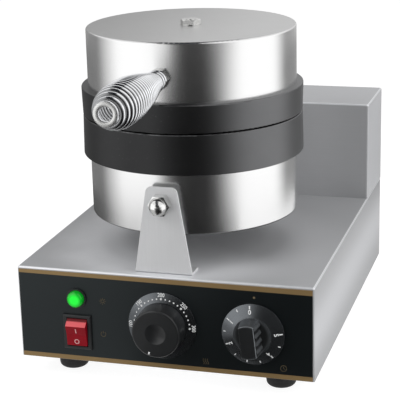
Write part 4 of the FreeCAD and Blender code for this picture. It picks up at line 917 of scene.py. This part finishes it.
class FinishColours(PropertyGroup):
    """Colours of the finishes."""

    sheet: colour("Sheet steel", "Folded stainless sheet", (0.50, 0.505, 0.520))
    can: colour("Can", "Polished drum cans", (0.80, 0.80, 0.80))
    casting: colour("Casting", "Coated baking plates", (0.122, 0.123, 0.126))
    bracket: colour("Bracket", "Front bracket", (0.74, 0.745, 0.755))
    plate: colour("Plating", "Nuts, bolts and screws", (0.72, 0.72, 0.71))
    chrome: colour("Chrome", "Spring handle", (0.82, 0.83, 0.85))
    fascia: colour("Fascia", "Lacquer of the control plate", (0.0045, 0.0060, 0.0068))
    band: colour("Band", "Printed band of the control plate", (0.290, 0.190, 0.080))
    ink: colour("Ink", "White print", (0.86, 0.87, 0.87))
    black: colour("Black plastic", "Knobs and bezels", (0.014, 0.015, 0.016))
    red: colour("Rocker", "Red rocker", (0.56, 0.006, 0.022))
    green: colour("Lens", "Green lamp lens", (0.005, 0.66, 0.03))
    rubber: colour("Rubber", "Feet and grommets", (0.014, 0.014, 0.014))
    case: colour("Case plastic", "Control cases inside", (0.05, 0.052, 0.055))


class StudioLevels(PropertyGroup):
    """Levels of the studio."""

    key: power("Key", "Power of the front left softbox", 11.6)
    fill: power("Fill", "Power of the right softbox", 11.2)
    top: power("Top", "Power of the overhead softbox", 6.4)
    sky: FloatProperty(name="Sky", description="Level of the even light all round", default=0.36)
    floor: colour("Floor", "Pale floor", (0.80, 0.80, 0.80))


class ConeMakerSettings(PropertyGroup):
    """All settings of the cone maker."""

    handle: PointerProperty(type=HandleSizes)
    dials: PointerProperty(type=DialSizes)
    screws: PointerProperty(type=ScrewSizes)
    colours: PointerProperty(type=FinishColours)
    studio: PointerProperty(type=StudioLevels)


def settings():
    return bpy.context.scene.cone_maker


def tint(name):
    return tuple(getattr(settings().colours, name))


def zinc_plate():
    return kept("bright_zinc_plate", plated_metal, tint("plate"), rough=0.20, depth=0.006)


def white_print():
    return kept("white_print", print_ink, tint("ink"), rough=0.42)


def paint(nodes, material):
    """Gives CAD nodes a finish; their shapes stay as they are."""
    for name in nodes:
        node = frame["nodes"][name]
        if not node.material_slots:
            node.data.materials.append(material)
        for slot in node.material_slots:
            slot.material = material


# Operators


class CONE_OT_sheet_metal(Operator):
    """Brushed and polished sheet: base, tower, cans and bracket"""

    bl_idname = "cone.sheet_metal"
    bl_label = "Sheet metal"

    def execute(self, context):
        paint(("base_housing", "bottom_plate", "tower_housing", "tower_rear_cover"),
              kept("brushed_sheet_steel", brushed_sheet, tint("sheet")))
        paint(("lower_can", "upper_can"), kept("polished_can_steel", polished_can, tint("can")))
        paint(("front_bracket",), kept("satin_bracket_steel", satin_bracket, tint("bracket")))
        return DONE


class CONE_OT_baking_plates(Operator):
    """Coated castings and the heaters clamped behind them"""

    bl_idname = "cone.baking_plates"
    bl_label = "Baking plates"

    BLUED, STRAW = (0.16, 0.15, 0.15), (0.20, 0.14, 0.09)

    def execute(self, context):
        paint(("lower_plate", "upper_plate"), kept("baked_dark_casting", coated_casting, tint("casting")))
        paint(("lower_heater", "upper_heater"),
              kept("blued_heater_tube", sheathed_heater, self.BLUED, self.STRAW))
        return DONE


class CONE_OT_fixings(Operator):
    """Plated studs, nuts, washers, bolts and pins"""

    bl_idname = "cone.fixings"
    bl_label = "Fixings"

    ZINC = ("upper_stud", "upper_stud_nuts", "upper_can_washer", "lower_stud", "lower_stud_nuts",
            "lower_can_washer", "handle_stud", "handle_lock_nut", "handle_inner_nut", "trunnion_tube",
            "trunnion_nuts", "hinge_clips", "foot_nuts", "dial_ring_nuts", "thermostat_shaft",
            "timer_shaft", "lower_heater_clamp", "upper_heater_clamp")
    POLISHED = ("pivot_bolt", "pivot_spacer", "pivot_acorn_nut", "hinge_pin")

    def execute(self, context):
        paint(self.ZINC, zinc_plate())
        paint(self.POLISHED,
              kept("mirror_polished_steel", plated_metal, shade(tint("plate"), 1.12),
                   rough=0.15, depth=0.003))
        return DONE


class CONE_OT_mouldings(Operator):
    """Plastic and rubber mouldings, the control cases and the capillary"""

    bl_idname = "cone.mouldings"
    bl_label = "Mouldings"

    COPPER = (0.72, 0.36, 0.22)
    # Radius outside which each dial has its metallic film, in millimetres.
    FILM_FROM = {"thermostat_turn": 12.0, "timer_turn": 15.0}

    def execute(self, context):
        black = tint("black")
        paint(("switch_body", "indicator_body", "cable_gland", "cable_gland_nut"),
              kept("black_bezel_plastic", moulded_plastic, black, rough=0.40))
        for joint, inner in self.FILM_FROM.items():
            film = kept(joint.replace("turn", "dial_film"), dial_plastic, black, joint=joint, inner=inner)
            paint((DIALS[joint],), film)
        paint(("thermostat_knob",),
              kept("black_knob_plastic", moulded_plastic, black, rough=0.28, depth=0.010))
        paint(("thermostat_body", "timer_body", "terminal_block"),
              kept("control_case_plastic", moulded_plastic, tint("case"), rough=0.45))
        paint(("foot_front_left", "foot_front_right", "foot_rear_left", "foot_rear_right",
               "tower_grommet", "upper_can_grommet"), kept("soft_black_rubber", rubber, tint("rubber")))
        paint(("thermostat_capillary",),
              kept("bright_copper_tube", plated_metal, self.COPPER, rough=0.24, depth=0.004))
        paint(("indicator_lens",), kept("lit_green_lens", lit_lens, tint("green")))
        return DONE


class CONE_OT_spring_handle(Operator):
    """Barrel shaped handle wound from plated wire, its last turn ground flat"""

    bl_idname = "cone.spring_handle"
    bl_label = "Spring handle"

    TURN_STEPS, WIRE_SIDES, END_STEPS = 44, 16, 64

    def execute(self, context):
        size = settings().handle
        wire = size.wire / 2
        start, end = size.nose + wire, size.end / 2 - wire
        chrome = kept("chrome_spring_wire", chrome_wire, tint("chrome"))
        ground = kept("ground_spring_end", ground_face, shade(tint("plate"), 1.12))
        coil = coil_recipe().run(
            Wire_Radius=wire, Pitch=size.pitch, Turns=float(size.turns), Neck_Turns=size.neck_turns,
            Crest_Turn=size.crest_turn, Neck_Radius=size.stud + wire,
            Widest_Radius=size.barrel / 2 - wire, End_Radius=end, Nose=start,
            Steps=self.TURN_STEPS, Sides=self.WIRE_SIDES, Material=chrome)
        shape = opened(coil)
        bpy.data.meshes.remove(coil)
        # The ground end is a closed ring: round at its back, flat on its face.
        face = start + size.pitch * size.turns + wire
        round_back = [(end + wire * math.cos(a), face - wire * (0.75 - 0.85 * math.sin(a)))
                      for a in (math.pi * step / 8 for step in range(0, -9, -1))]
        flat = [(end - wire * 0.90, face - wire * 0.3), (end - wire * 0.70, face),
                (end + wire * 0.86, face), (end + wire * 0.98, face - wire * 0.3)]
        before = len(shape.faces)
        turned(shape, round_back + flat, self.END_STEPS, closed=True)
        shape.faces.ensure_lookup_table()
        for made in shape.faces[before:]:
            if all(abs(v.co.z - face) < TOUCHING for v in made.verts):
                made.material_index = 1
        mesh = as_mesh("spring_handle", shape, (chrome, ground))
        mesh.transform(Matrix.Translation((0, CAN_FRONT, HANDLE_HEIGHT)) @ FRONT)
        handle = as_piece("spring_handle", mesh, "lid", ("handle_coil",))
        handle.visible_glossy = False
        return DONE


class CONE_OT_screws(Operator):
    """Pan head screws with a cross recess, in every screw place of the base and tower"""

    bl_idname = "cone.screws"
    bl_label = "Screws"

    # Turn of the screws, the axis that they stand along, and whether the head is at its high end.
    GROUPS = {
        "bottom_plate_screws": ((math.pi, 0, 0), 2, False),
        "foot_screws": ((math.pi, 0, 0), 2, False),
        "tower_cover_screws": ((-math.pi / 2, 0, 0), 1, True),
        "bracket_screws": ((0, 0, 0), 2, True),
    }
    HEAD_HEIGHT = 2.6 * MM
    # Shares of the head's radius and of its crown's rise, from the edge to the middle.
    CROWN = ((1.0, 0.0), (0.97, 0.35), (0.88, 0.65), (0.72, 0.87), (0.5, 0.97), (0.0, 1.0))
    STEPS = 32

    def screw(self, head, height, below):
        """A pan head screw whose head sits on local z 0, with a cross cut into its crown."""
        size = settings().screws
        shank = head * 0.5
        outline = [(0, -below), (shank * 0.55, -below), (shank, -below + shank), (shank, 0),
                   (head * 0.96, 0), (head, height * 0.12)]
        outline += [(head * out, height * (0.45 + 0.55 * up)) for out, up in self.CROWN]
        screw = linked("scratch", as_mesh("screw_body", turned(bmesh.new(), outline, self.STEPS)))
        reach, half = size.recess / 2, size.slot / 2
        arms = []
        for turn in range(4):
            for x, y in ((reach, -half), (reach, half), (half, half)):
                for _ in range(turn):
                    x, y = -y, x
                arms.append((x, y))
        cross = level_prism(arms, height - size.depth, height * 1.5)
        cutter = linked("scratch", as_mesh("screw_recess", cross, smooth=False))
        cut = screw.modifiers.new("recess", "BOOLEAN")
        cut.operation = "DIFFERENCE"
        cut.object = cutter
        mesh = evaluated(screw)
        drop(cutter)
        return mesh

    def execute(self, context):
        recipe = copies_recipe()
        for node, (facing, axis, high_end) in self.GROUPS.items():
            boxes = island_boxes(node)
            low, high = boxes[0]
            reach = high[axis] - low[axis]
            height = min(self.HEAD_HEIGHT, reach * 0.5)
            shape = linked("scratch", self.screw((high.x - low.x) / 2, height, reach - height))
            places = []
            for first, last in boxes:
                spot = (first + last) / 2
                spot[axis] = last[axis] - height if high_end else first[axis] + height
                places.append(spot)
            mesh = recipe.run(places, Shape=shape, Facing=facing, Material=zinc_plate())
            drop(shape)
            mesh.shade_flat()
            as_piece(node.replace("screws", "cross_screws"), mesh, "base", (node,))
        return DONE


class ConedDial:
    """Front of a dial that rises from its rim to an inner edge, with print on it."""

    def __init__(self, joint, rim_height, inner_radius, inner_height):
        self.place = Matrix.Translation(Vector(JOINTS[joint]["pos_m"])) @ FRONT
        self.rim = half_width(DIALS[joint])
        self.rim_height = rim_height
        self.slope = (inner_height - rim_height) / (self.rim - inner_radius)
        self.tilt = math.atan(self.slope)
        self.ink = white_print()

    def height(self, radius):
        return self.rim_height + (self.rim - radius) * self.slope

    @staticmethod
    def spot(angle, radius, height, tilt):
        """Place of a mark: y outwards along the cone, z off its surface."""
        turn = Matrix.Rotation(-angle, 4, "Z")
        return turn @ Matrix.Translation((0, radius, height)) @ Matrix.Rotation(-tilt, 4, "X")

    def marks(self, shape, radius, **inputs):
        """Copies of a mark round the dial, as one mesh."""
        mark = linked("scratch", shape)
        made = marks_recipe().run(Mark=mark, Radius=radius, Height=self.height(radius),
                                  Tilt=self.tilt, Material=self.ink, **inputs)
        drop(mark)
        return made

    def scale(self, name, body, marks, numbers, radius):
        """A printed scale: its marks, and the mesh of each number by its angle."""
        parts = [(marks, Matrix.Identity(4))]
        for angle, number in numbers:
            parts.append((number, self.spot(angle, radius, self.height(radius), self.tilt)))
        mesh = as_mesh(name, gathered(parts), (self.ink,), smooth=False)
        mesh.transform(self.place)
        as_piece(name, mesh, body)


class CONE_OT_thermostat_scale(Operator):
    """Dots and numbers of the fixed dial, and the white mark on its knob"""

    bl_idname = "cone.thermostat_scale"
    bl_label = "Thermostat scale"

    NUMBERS = (100, 150, 200, 250, 300)
    DOTS = 5
    FIRST, STEP = -math.pi / 2, math.pi / 4
    POINTER_ANGLE, POINTER_RADIUS = math.radians(-161), 18.2 * MM

    def execute(self, context):
        size = settings().dials
        dial = ConedDial("thermostat_turn", rim_height=1.2 * MM, inner_radius=21.5 * MM,
                         inner_height=3.2 * MM)
        dot = as_mesh("dial_dot", printed_dot(0.95 * MM, 0.85 * MM, 0.5, size.film, 16))
        dots = dial.marks(dot, size.dot_radius, Count=self.DOTS * (len(self.NUMBERS) - 1) + 1,
                          First_Angle=self.FIRST, Step_Angle=self.STEP / self.DOTS,
                          Every=self.DOTS, Minor_Width=0.72, Minor_Length=0.72)
        numbers = []
        for step, number in enumerate(self.NUMBERS):
            words = lettering(str(number), size.number_height, 2 * size.film, 0.016)
            words.transform(Matrix.Diagonal((0.92, 1, 1, 1)))
            numbers.append((self.FIRST + step * self.STEP, words))
        dial.scale("thermostat_scale", "base", dots, numbers, size.number_radius)

        front = FASCIA_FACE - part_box("thermostat_knob")[0].y
        bar = printed_bar(0.7 * MM, 1.25 * MM, size.film)
        bmesh.ops.bevel(bar, geom=list(bar.edges), offset=0.06 * MM, segments=2, affect="EDGES")
        pointer = as_mesh("knob_mark", bar, (dial.ink,))
        pointer.transform(dial.place @ dial.spot(self.POINTER_ANGLE, self.POINTER_RADIUS, front, 0))
        as_piece("knob_mark", pointer, "thermostat_knob")
        return DONE


class CONE_OT_timer_scale(Operator):
    """Ticks and numbers on the timer's skirt, and the ribs of its grip"""

    bl_idname = "cone.timer_scale"
    bl_label = "Timer scale"

    REST = math.radians(-5.8)
    UNIT = math.radians(54)
    NUMBERS = 6
    # Half width and height of the grip at its foot and at its front.
    GRIP_BASE, GRIP_FRONT = (7.6 * MM, 7.2 * MM), (6.3 * MM, 21.8 * MM)
    RIB_PROUD, RIB_SUNK = 1.0 * MM, 0.15 * MM
    RIB_ROWS = (-1.5, -0.5, 0.5, 1.5)

    def rib(self, pitch):
        """A ridge across the grip: a bar whose two ends come to a vertical edge."""
        ends = []
        for half, height in (self.GRIP_BASE, self.GRIP_FRONT):
            tip, root = half + self.RIB_PROUD, half - self.RIB_SUNK
            ends.append([(x, y, height) for x, y in (
                (tip, 0), (root, pitch / 2), (-root, pitch / 2),
                (-tip, 0), (-root, -pitch / 2), (root, -pitch / 2))])
        shape = prism(*ends)
        front = self.GRIP_FRONT[1] - TOUCHING
        tops = [edge for edge in shape.edges if all(v.co.z > front for v in edge.verts)]
        bmesh.ops.bevel(shape, geom=tops, offset=0.35 * MM, segments=2, affect="EDGES")
        return as_mesh("grip_rib", shape, smooth=False)

    def execute(self, context):
        size = settings().dials
        dial = ConedDial("timer_turn", rim_height=2.7 * MM, inner_radius=15.8 * MM,
                         inner_height=7.0 * MM)
        tick = as_mesh("timer_tick", printed_bar(0.5 * MM, 1.45 * MM, size.film), smooth=False)
        ticks = dial.marks(tick, size.tick_radius, Count=2 * self.NUMBERS - 1, First_Angle=self.REST,
                           Step_Angle=-self.UNIT / 2, Every=2, Minor_Width=0.8, Minor_Length=0.75)
        numbers = [(self.REST - number * self.UNIT,
                    lettering(str(number), size.hour_height, 2 * size.film, 0.02))
                   for number in range(self.NUMBERS)]
        dial.scale("timer_scale", "timer_knob", ticks, numbers, size.hour_radius)

        plastic = kept("rubbed_grip_plastic", rubbed_plastic, tint("black"))
        rib = linked("scratch", self.rib(size.rib_pitch))
        rows = [(0, step * size.rib_pitch, 0) for step in self.RIB_ROWS]
        ribs = copies_recipe().run(rows, Shape=rib, Facing=(0, 0, 0), Material=plastic)
        drop(rib)
        ribs.shade_flat()
        ribs.transform(dial.place @ Matrix.Rotation(-self.REST, 4, "Z"))
        as_piece("timer_grip_ribs", ribs, "timer_knob")
        return DONE


class CONE_OT_rocker(Operator):
    """Red rocker with softened edges, and its pale on and off signs"""

    bl_idname = "cone.rocker"
    bl_label = "Rocker"

    ROSE = (0.82, 0.46, 0.46)
    # Height of each sign over the rocker's middle.
    BAR_RISE, RING_RISE = 2.6 * MM, -7.6 * MM
    RING = (1.55 * MM, 2.25 * MM)

    def execute(self, context):
        red = kept("glossy_red_rocker", glossy_red, tint("red"))
        shape = merged_copy("switch_rocker")
        bmesh.ops.dissolve_limit(shape, angle_limit=math.radians(1), verts=shape.verts, edges=shape.edges)
        holder = linked("scratch", as_mesh("rocker", shape, (red,), smooth=False))
        soft = holder.modifiers.new("soft_edges", "BEVEL")
        soft.width = 0.45 * MM
        soft.segments = 3
        soft.limit_method = "ANGLE"
        soft.angle_limit = math.radians(35)
        mesh = evaluated(holder)
        as_piece("red_rocker", mesh, "switch_rocker", ("switch_rocker",))
        self.signs(mesh)
        return DONE

    def signs(self, rocker):
        """A bar above and a ring below the middle, laid on the rocker's own front."""
        ink = kept("pale_rose_print", print_ink, self.ROSE, rough=0.42)
        film = settings().dials.film
        bar = printed_bar(0.45 * MM, 2.1 * MM, film)
        bmesh.ops.subdivide_edges(bar, edges=bar.edges, cuts=4, use_grid_fill=True)
        inner, outer = self.RING
        ring = turned(bmesh.new(), [(inner, -film), (outer, -film), (outer, film), (inner, film)],
                      36, closed=True)
        centre = middle("switch_rocker")
        parts = []
        for sign, rise in ((bar, self.BAR_RISE), (ring, self.RING_RISE)):
            place = Matrix.Translation((centre.x, 0, centre.z + rise)) @ FRONT
            parts.append((as_mesh("rocker_sign", sign), place))
        shape = gathered(parts)
        front = opened(rocker)
        face = BVHTree.FromBMesh(front)
        front.free()
        for vert in shape.verts:
            spot = face.ray_cast(Vector((vert.co.x, -0.5, vert.co.z)), Vector((0, 1, 0)))[0]
            if spot is None:
                raise RuntimeError("a rocker sign misses the rocker")
            vert.co.y += spot.y
        as_piece("rocker_signs", as_mesh("rocker_signs", shape, (ink,), smooth=False),
                 "switch_rocker")


class CONE_OT_fascia(Operator):
    """Control plate with its printed bands, plain signs and the timer's index dot"""

    bl_idname = "cone.fascia"
    bl_label = "Fascia"

    # Middle of each sign and of the dot on the plate, in millimetres.
    SIGNS = {"lamp": (-53.0, 75.0), "power": (-53.5, 45.0), "heat": (37.0, 28.5), "clock": (104.0, 28.5)}
    INDEX_DOT = (79.6, 88.9)
    LINE = 0.5 * MM
    DIM_GOLD, GOLD = (0.10, 0.075, 0.035), (0.17, 0.13, 0.07)

    @staticmethod
    def strokes(sign):
        """Lines of a sign, in millimetres round its middle, as (points, closed)."""
        if sign == "power":
            return [(arc(2.2, 35, 325, 20), False), ([(0, 0.6), (0, 2.9)], False)]
        if sign == "lamp":
            rays = [(arc(3.0, a, a, 2)[:1] + arc(2.2, a, a, 2)[:1], False) for a in range(0, 360, 45)]
            return [(arc(1.4, 0, 345, 24), True)] + rays
        if sign == "clock":
            return [(arc(2.6, 0, 350, 30), True), ([(0, 1.6), (0, 0), (1.2, -0.7)], False)]
        wave = [(0.5 * math.sin(2 * math.pi * s / 12), -2.6 + 5.2 * s / 12) for s in range(13)]
        return [([(shift + x, y) for x, y in wave], False) for shift in (-1.8, 0, 1.8)]

    def execute(self, context):
        paint(("control_fascia",), kept("printed_fascia", printed_fascia, tint("fascia"), tint("band")))
        film = settings().dials.film
        dim = kept("dim_gold_print", print_ink, self.DIM_GOLD, rough=0.45)
        pressed = Matrix.Diagonal((1, 1, film / (self.LINE / 2), 1))
        parts = []
        for sign, place in self.SIGNS.items():
            for points, closed in self.strokes(sign):
                line = stroke([(x * MM, y * MM) for x, y in points], self.LINE, closed)
                parts.append((line, on_fascia(*place) @ pressed))
        as_piece("fascia_signs", as_mesh("fascia_signs", gathered(parts), (dim,)), "base")

        gold = kept("gold_print", print_ink, self.GOLD, rough=0.4)
        dot = printed_dot(1.05 * MM, 0.9 * MM, 0.6, film, 24)
        mesh = as_mesh("timer_index_dot", dot, (gold,))
        mesh.transform(on_fascia(*self.INDEX_DOT))
        as_piece("timer_index_dot", mesh, "base")
        return DONE


class CONE_OT_stage(Operator):
    """Pale floor, white world, softboxes, reflector wall, dark flag and the camera"""

    bl_idname = "cone.stage"
    bl_label = "Stage"

    # Reflector wall: degrees round the drum from the front towards the right, and its shade,
    # for its foot, for the strip above that and for its head.
    FOOT = ((-180, 0.16), (-97, 0.16), (-63, 1.0), (-23, 1.0), (-15, 0.32), (-8, 0.08), (-2, 0.02),
            (29, 0.02), (38, 0.08), (46, 0.34), (56, 0.76), (66, 1.0), (110, 1.0), (129, 0.20),
            (160, 0.24), (180, 0.34))
    STRIP = ((-180, 0.5), (-150, 0.3), (-97, 0.2), (-63, 1.0), (-9, 1.0), (0, 0.25), (8, 0.05),
             (29, 0.05), (46, 0.34), (66, 1.0), (110, 1.0), (129, 0.3), (180, 0.5))
    HEAD = ((-180, 0.60), (-172, 0.57), (-154, 0.40), (-135, 0.26), (-100, 0.26), (-70, 1.0), (-18, 1.0),
            (-8, 0.03), (30, 0.03), (42, 1.0), (110, 1.0), (140, 0.6), (180, 0.60))
    WALL_RADIUS, WALL_HEIGHT, WALL_STEPS = 0.55, 0.50, 120
    # Heights in millimetres over which the foot gives way to the strip, and that to the head.
    FOOT_TO_STRIP, STRIP_TO_HEAD = (180, 205), (280, 310)
    # The apron lies on the floor before the part: its ends, its gap to the base, its lift, and the
    # share of a turn by which its shades lag behind those of the wall.
    APRON_ENDS = math.radians(-151), math.radians(61)
    APRON_GAP, APRON_LIFT, APRON_LAG = 12 * MM, 1.5 * MM, 0.012
    APRON_LEVEL, WALL_LEVEL = 0.55, 1.30
    # Left, right, y and z of the rows of the dark flag over the part.
    FLAG = ((-0.10, 0.27, -0.56, 0.50), (-0.20, 0.18, -0.42, 0.78), (-0.30, 0.12, -0.10, 0.92),
            (-0.30, 0.12, 0.30, 0.85))
    FLAG_DARK, FLAG_LIGHT = (0.010, 0.014, 0.022), (0.016, 0.022, 0.034)
    FLOOR_RINGS = ((0, 0), (0.6, 0), (1.6, 0), (6.0, 0))
    FLOOR_SHADOW, FLOOR_GLOW = (0.26, 0.26, 0.26, 1), 0.90
    # The camera's turns in radians, and its focal length in pixels of a frame this wide.
    CAMERA_PLACE = (0.34088, -1.15034, 0.49081)
    YAW, PITCH, ROLL = 0.288, 0.290, -0.025
    FOCAL, FRAME_WIDTH, SENSOR = 1382.29, 400, 36.0
    # Place, width and height of each softbox, all aimed at one point.
    AIM = (0, 0.02, 0.15)
    SOFTBOXES = {
        "key": ((-1.0, -1.1, 1.25), 1.1, 1.1),
        "fill": ((1.35, -0.35, 0.95), 0.9, 1.1),
        "top": ((0.2, -0.3, 1.7), 1.4, 1.2),
    }

    @staticmethod
    def seen(graph):
        """1 for what the camera, a mirror or a clear piece sees, 0 for plain light."""
        path = graph.node("ShaderNodeLightPath")
        return (path["Is Camera Ray"] + path["Is Glossy Ray"] + path["Is Transmission Ray"]).clamped()

    def floor(self):
        finish = Finish("pale_floor")
        base = tuple(settings().studio.floor)
        tone = finish.levels(finish.grain(0.002), base, 0.98, 1.0)
        plain = finish.first("ShaderNodeBsdfDiffuse", {"Color": tone})
        shadow = finish.first("ShaderNodeBsdfDiffuse", {"Color": self.FLOOR_SHADOW})
        glow = finish.first("ShaderNodeEmission", {"Color": WHITE, "Strength": self.FLOOR_GLOW})
        white = finish.first("ShaderNodeAddShader", {"Shader": shadow, "Shader_001": glow})
        finish.show(finish.first("ShaderNodeMixShader", {
            "Fac": self.seen(finish), "Shader": plain, "Shader_001": white}))
        shape = turned(bmesh.new(), self.FLOOR_RINGS, 64)
        floor = linked("floor", as_mesh("floor", shape, (finish.material,)))
        for face in floor.data.polygons:
            if face.normal.z < 0:
                face.flip()

    def wall_shades(self):
        finish = Finish("reflector_wall")
        x, y, z = finish.where()
        upright = finish.span(z, 2.0, 8.0)
        around = x.calc("ARCTAN2", x, DRUM_Y / MM - y) / (2 * math.pi)
        turn = around + (0.5 - self.APRON_LAG) + upright * self.APRON_LAG
        foot, strip, head = (
            finish.first("ShaderNodeValToRGB", {"Fac": turn}, {
                "stops": [((angle + 180) / 360, level) for angle, level in row]})
            for row in (self.FOOT, self.STRIP, self.HEAD))
        lower = finish.blend(finish.span(z, *self.FOOT_TO_STRIP), foot, strip)
        shades = finish.blend(finish.span(z, *self.STRIP_TO_HEAD), lower, head)
        level = self.APRON_LEVEL + (self.WALL_LEVEL - self.APRON_LEVEL) * upright
        return finish.show(finish.first("ShaderNodeEmission", {"Color": shades, "Strength": level}))

    def reflector(self):
        """A low wall round the part and an apron before it, which only mirrors see."""
        ahead = DRUM_Y - FASCIA_FACE + self.APRON_GAP
        beside = half_width("base_housing") + self.APRON_GAP

        def near(angle):
            if abs(math.tan(angle)) > beside / ahead or math.cos(angle) < 0:
                return beside / abs(math.sin(angle))
            return ahead / math.cos(angle)

        def corner(angle, reach, height):
            return reach * math.sin(angle), DRUM_Y - reach * math.cos(angle), height

        shape = bmesh.new()
        radius, lift = self.WALL_RADIUS, self.APRON_LIFT
        angles = [2 * math.pi * step / self.WALL_STEPS - math.pi for step in range(self.WALL_STEPS + 1)]
        for a, b in zip(angles, angles[1:]):
            quad(shape, corner(a, radius, 0), corner(b, radius, 0),
                 corner(b, radius, self.WALL_HEIGHT), corner(a, radius, self.WALL_HEIGHT))
        first, last = self.APRON_ENDS
        apron = [a for a in angles if first < a < last]
        for a, b in zip(apron, apron[1:]):
            quad(shape, corner(a, near(a), lift), corner(b, near(b), lift),
                 corner(b, radius, lift), corner(a, radius, lift))
        self.mirror_only("reflector_wall", shape, self.wall_shades())

    def flag(self):
        """A dark flag over the part, which only mirrors see."""
        finish = Finish("black_flag")
        cloth = finish.blend(finish.grain(0.05), self.FLAG_DARK, self.FLAG_LIGHT)
        sheet = bmesh.new()
        for (al, ar, ay, az), (bl, br, by, bz) in zip(self.FLAG, self.FLAG[1:]):
            quad(sheet, (al, ay, az), (ar, ay, az), (br, by, bz), (bl, by, bz))
        self.mirror_only("overhead_flag", sheet, finish.surface(Base_Color=cloth, Roughness=1.0))

    @staticmethod
    def mirror_only(name, shape, material):
        thing = linked(name, as_mesh(name, shape, (material,)))
        for ray in ("camera", "diffuse", "transmission", "volume_scatter", "shadow"):
            setattr(thing, "visible_" + ray, False)

    def softbox(self, name, watts, place, width, height):
        lamp = bpy.data.lights.new(name, "AREA")
        lamp.shape = "RECTANGLE"
        lamp.size, lamp.size_y = width, height
        lamp.energy = watts
        box = linked(name, lamp)
        box.location = place
        box.rotation_euler = (Vector(self.AIM) - Vector(place)).to_track_quat("-Z", "Y").to_euler()
        box.visible_glossy = False

    def world(self):
        world = bpy.data.worlds.new("studio_white")
        bpy.context.scene.world = world
        world.use_nodes = True
        graph = Graph(world.node_tree)
        graph.tree.nodes.clear()
        sky = settings().studio.sky
        level = sky + self.seen(graph) * (1.0 - sky)
        even = graph.first("ShaderNodeBackground", {"Color": WHITE, "Strength": level})
        graph.node("ShaderNodeOutputWorld", {}, {"Surface": even})

    def camera(self):
        (sy, cy), (sp, cp), (sr, cr) = (
            (math.sin(turn), math.cos(turn)) for turn in (self.YAW, self.PITCH, self.ROLL))
        forward = Vector((-sy * cp, cy * cp, -sp))
        right = Vector((cy, sy, 0))
        up = right.cross(forward)
        turn = Matrix((right * cr + up * sr, up * cr - right * sr, -forward)).transposed().to_4x4()
        lens = bpy.data.cameras.new("photo_camera")
        lens.sensor_width = self.SENSOR
        lens.lens = self.FOCAL / self.FRAME_WIDTH * self.SENSOR
        lens.dof.use_dof = False
        view = linked("photo_camera", lens)
        view.matrix_world = Matrix.Translation(self.CAMERA_PLACE) @ turn
        bpy.context.scene.camera = view

    def execute(self, context):
        bpy.context.scene.view_settings.view_transform = "Standard"
        self.camera()
        self.world()
        self.floor()
        self.reflector()
        self.flag()
        for name, sizes in self.SOFTBOXES.items():
            self.softbox(name + "_softbox", getattr(settings().studio, name), *sizes)
        return DONE


class CONE_PT_pieces(Panel):
    """Lists the pieces of the cone maker"""

    bl_idname = "CONE_PT_pieces"
    bl_label = "Cone Maker"
    bl_space_type = "VIEW_3D"
    bl_region_type = "UI"
    bl_category = "Cone Maker"

    def draw(self, context):
        for operator in OPERATORS:
            self.layout.operator(operator.bl_idname)
        for group in ("handle", "dials", "screws", "colours", "studio"):
            box = self.layout.box()
            values = getattr(context.scene.cone_maker, group)
            for key in values.bl_rna.properties.keys():
                if key not in ("rna_type", "name"):
                    box.prop(values, key)


OPERATORS = (
    CONE_OT_sheet_metal, CONE_OT_baking_plates, CONE_OT_fixings, CONE_OT_mouldings, CONE_OT_fascia,
    CONE_OT_spring_handle, CONE_OT_screws, CONE_OT_thermostat_scale, CONE_OT_timer_scale,
    CONE_OT_rocker, CONE_OT_stage)
CLASSES = (HandleSizes, DialSizes, ScrewSizes, FinishColours, StudioLevels, ConeMakerSettings,
           *OPERATORS, CONE_PT_pieces)


def register():
    for kind in CLASSES:
        bpy.utils.register_class(kind)
    bpy.types.Scene.cone_maker = PointerProperty(type=ConeMakerSettings)


def unregister():
    del bpy.types.Scene.cone_maker
    for kind in reversed(CLASSES):
        bpy.utils.unregister_class(kind)


def main():
    register()
    for operator in OPERATORS:
        group, name = operator.bl_idname.split(".")
        getattr(getattr(bpy.ops, group), name)()


if __name__ == "__main__":
    main()
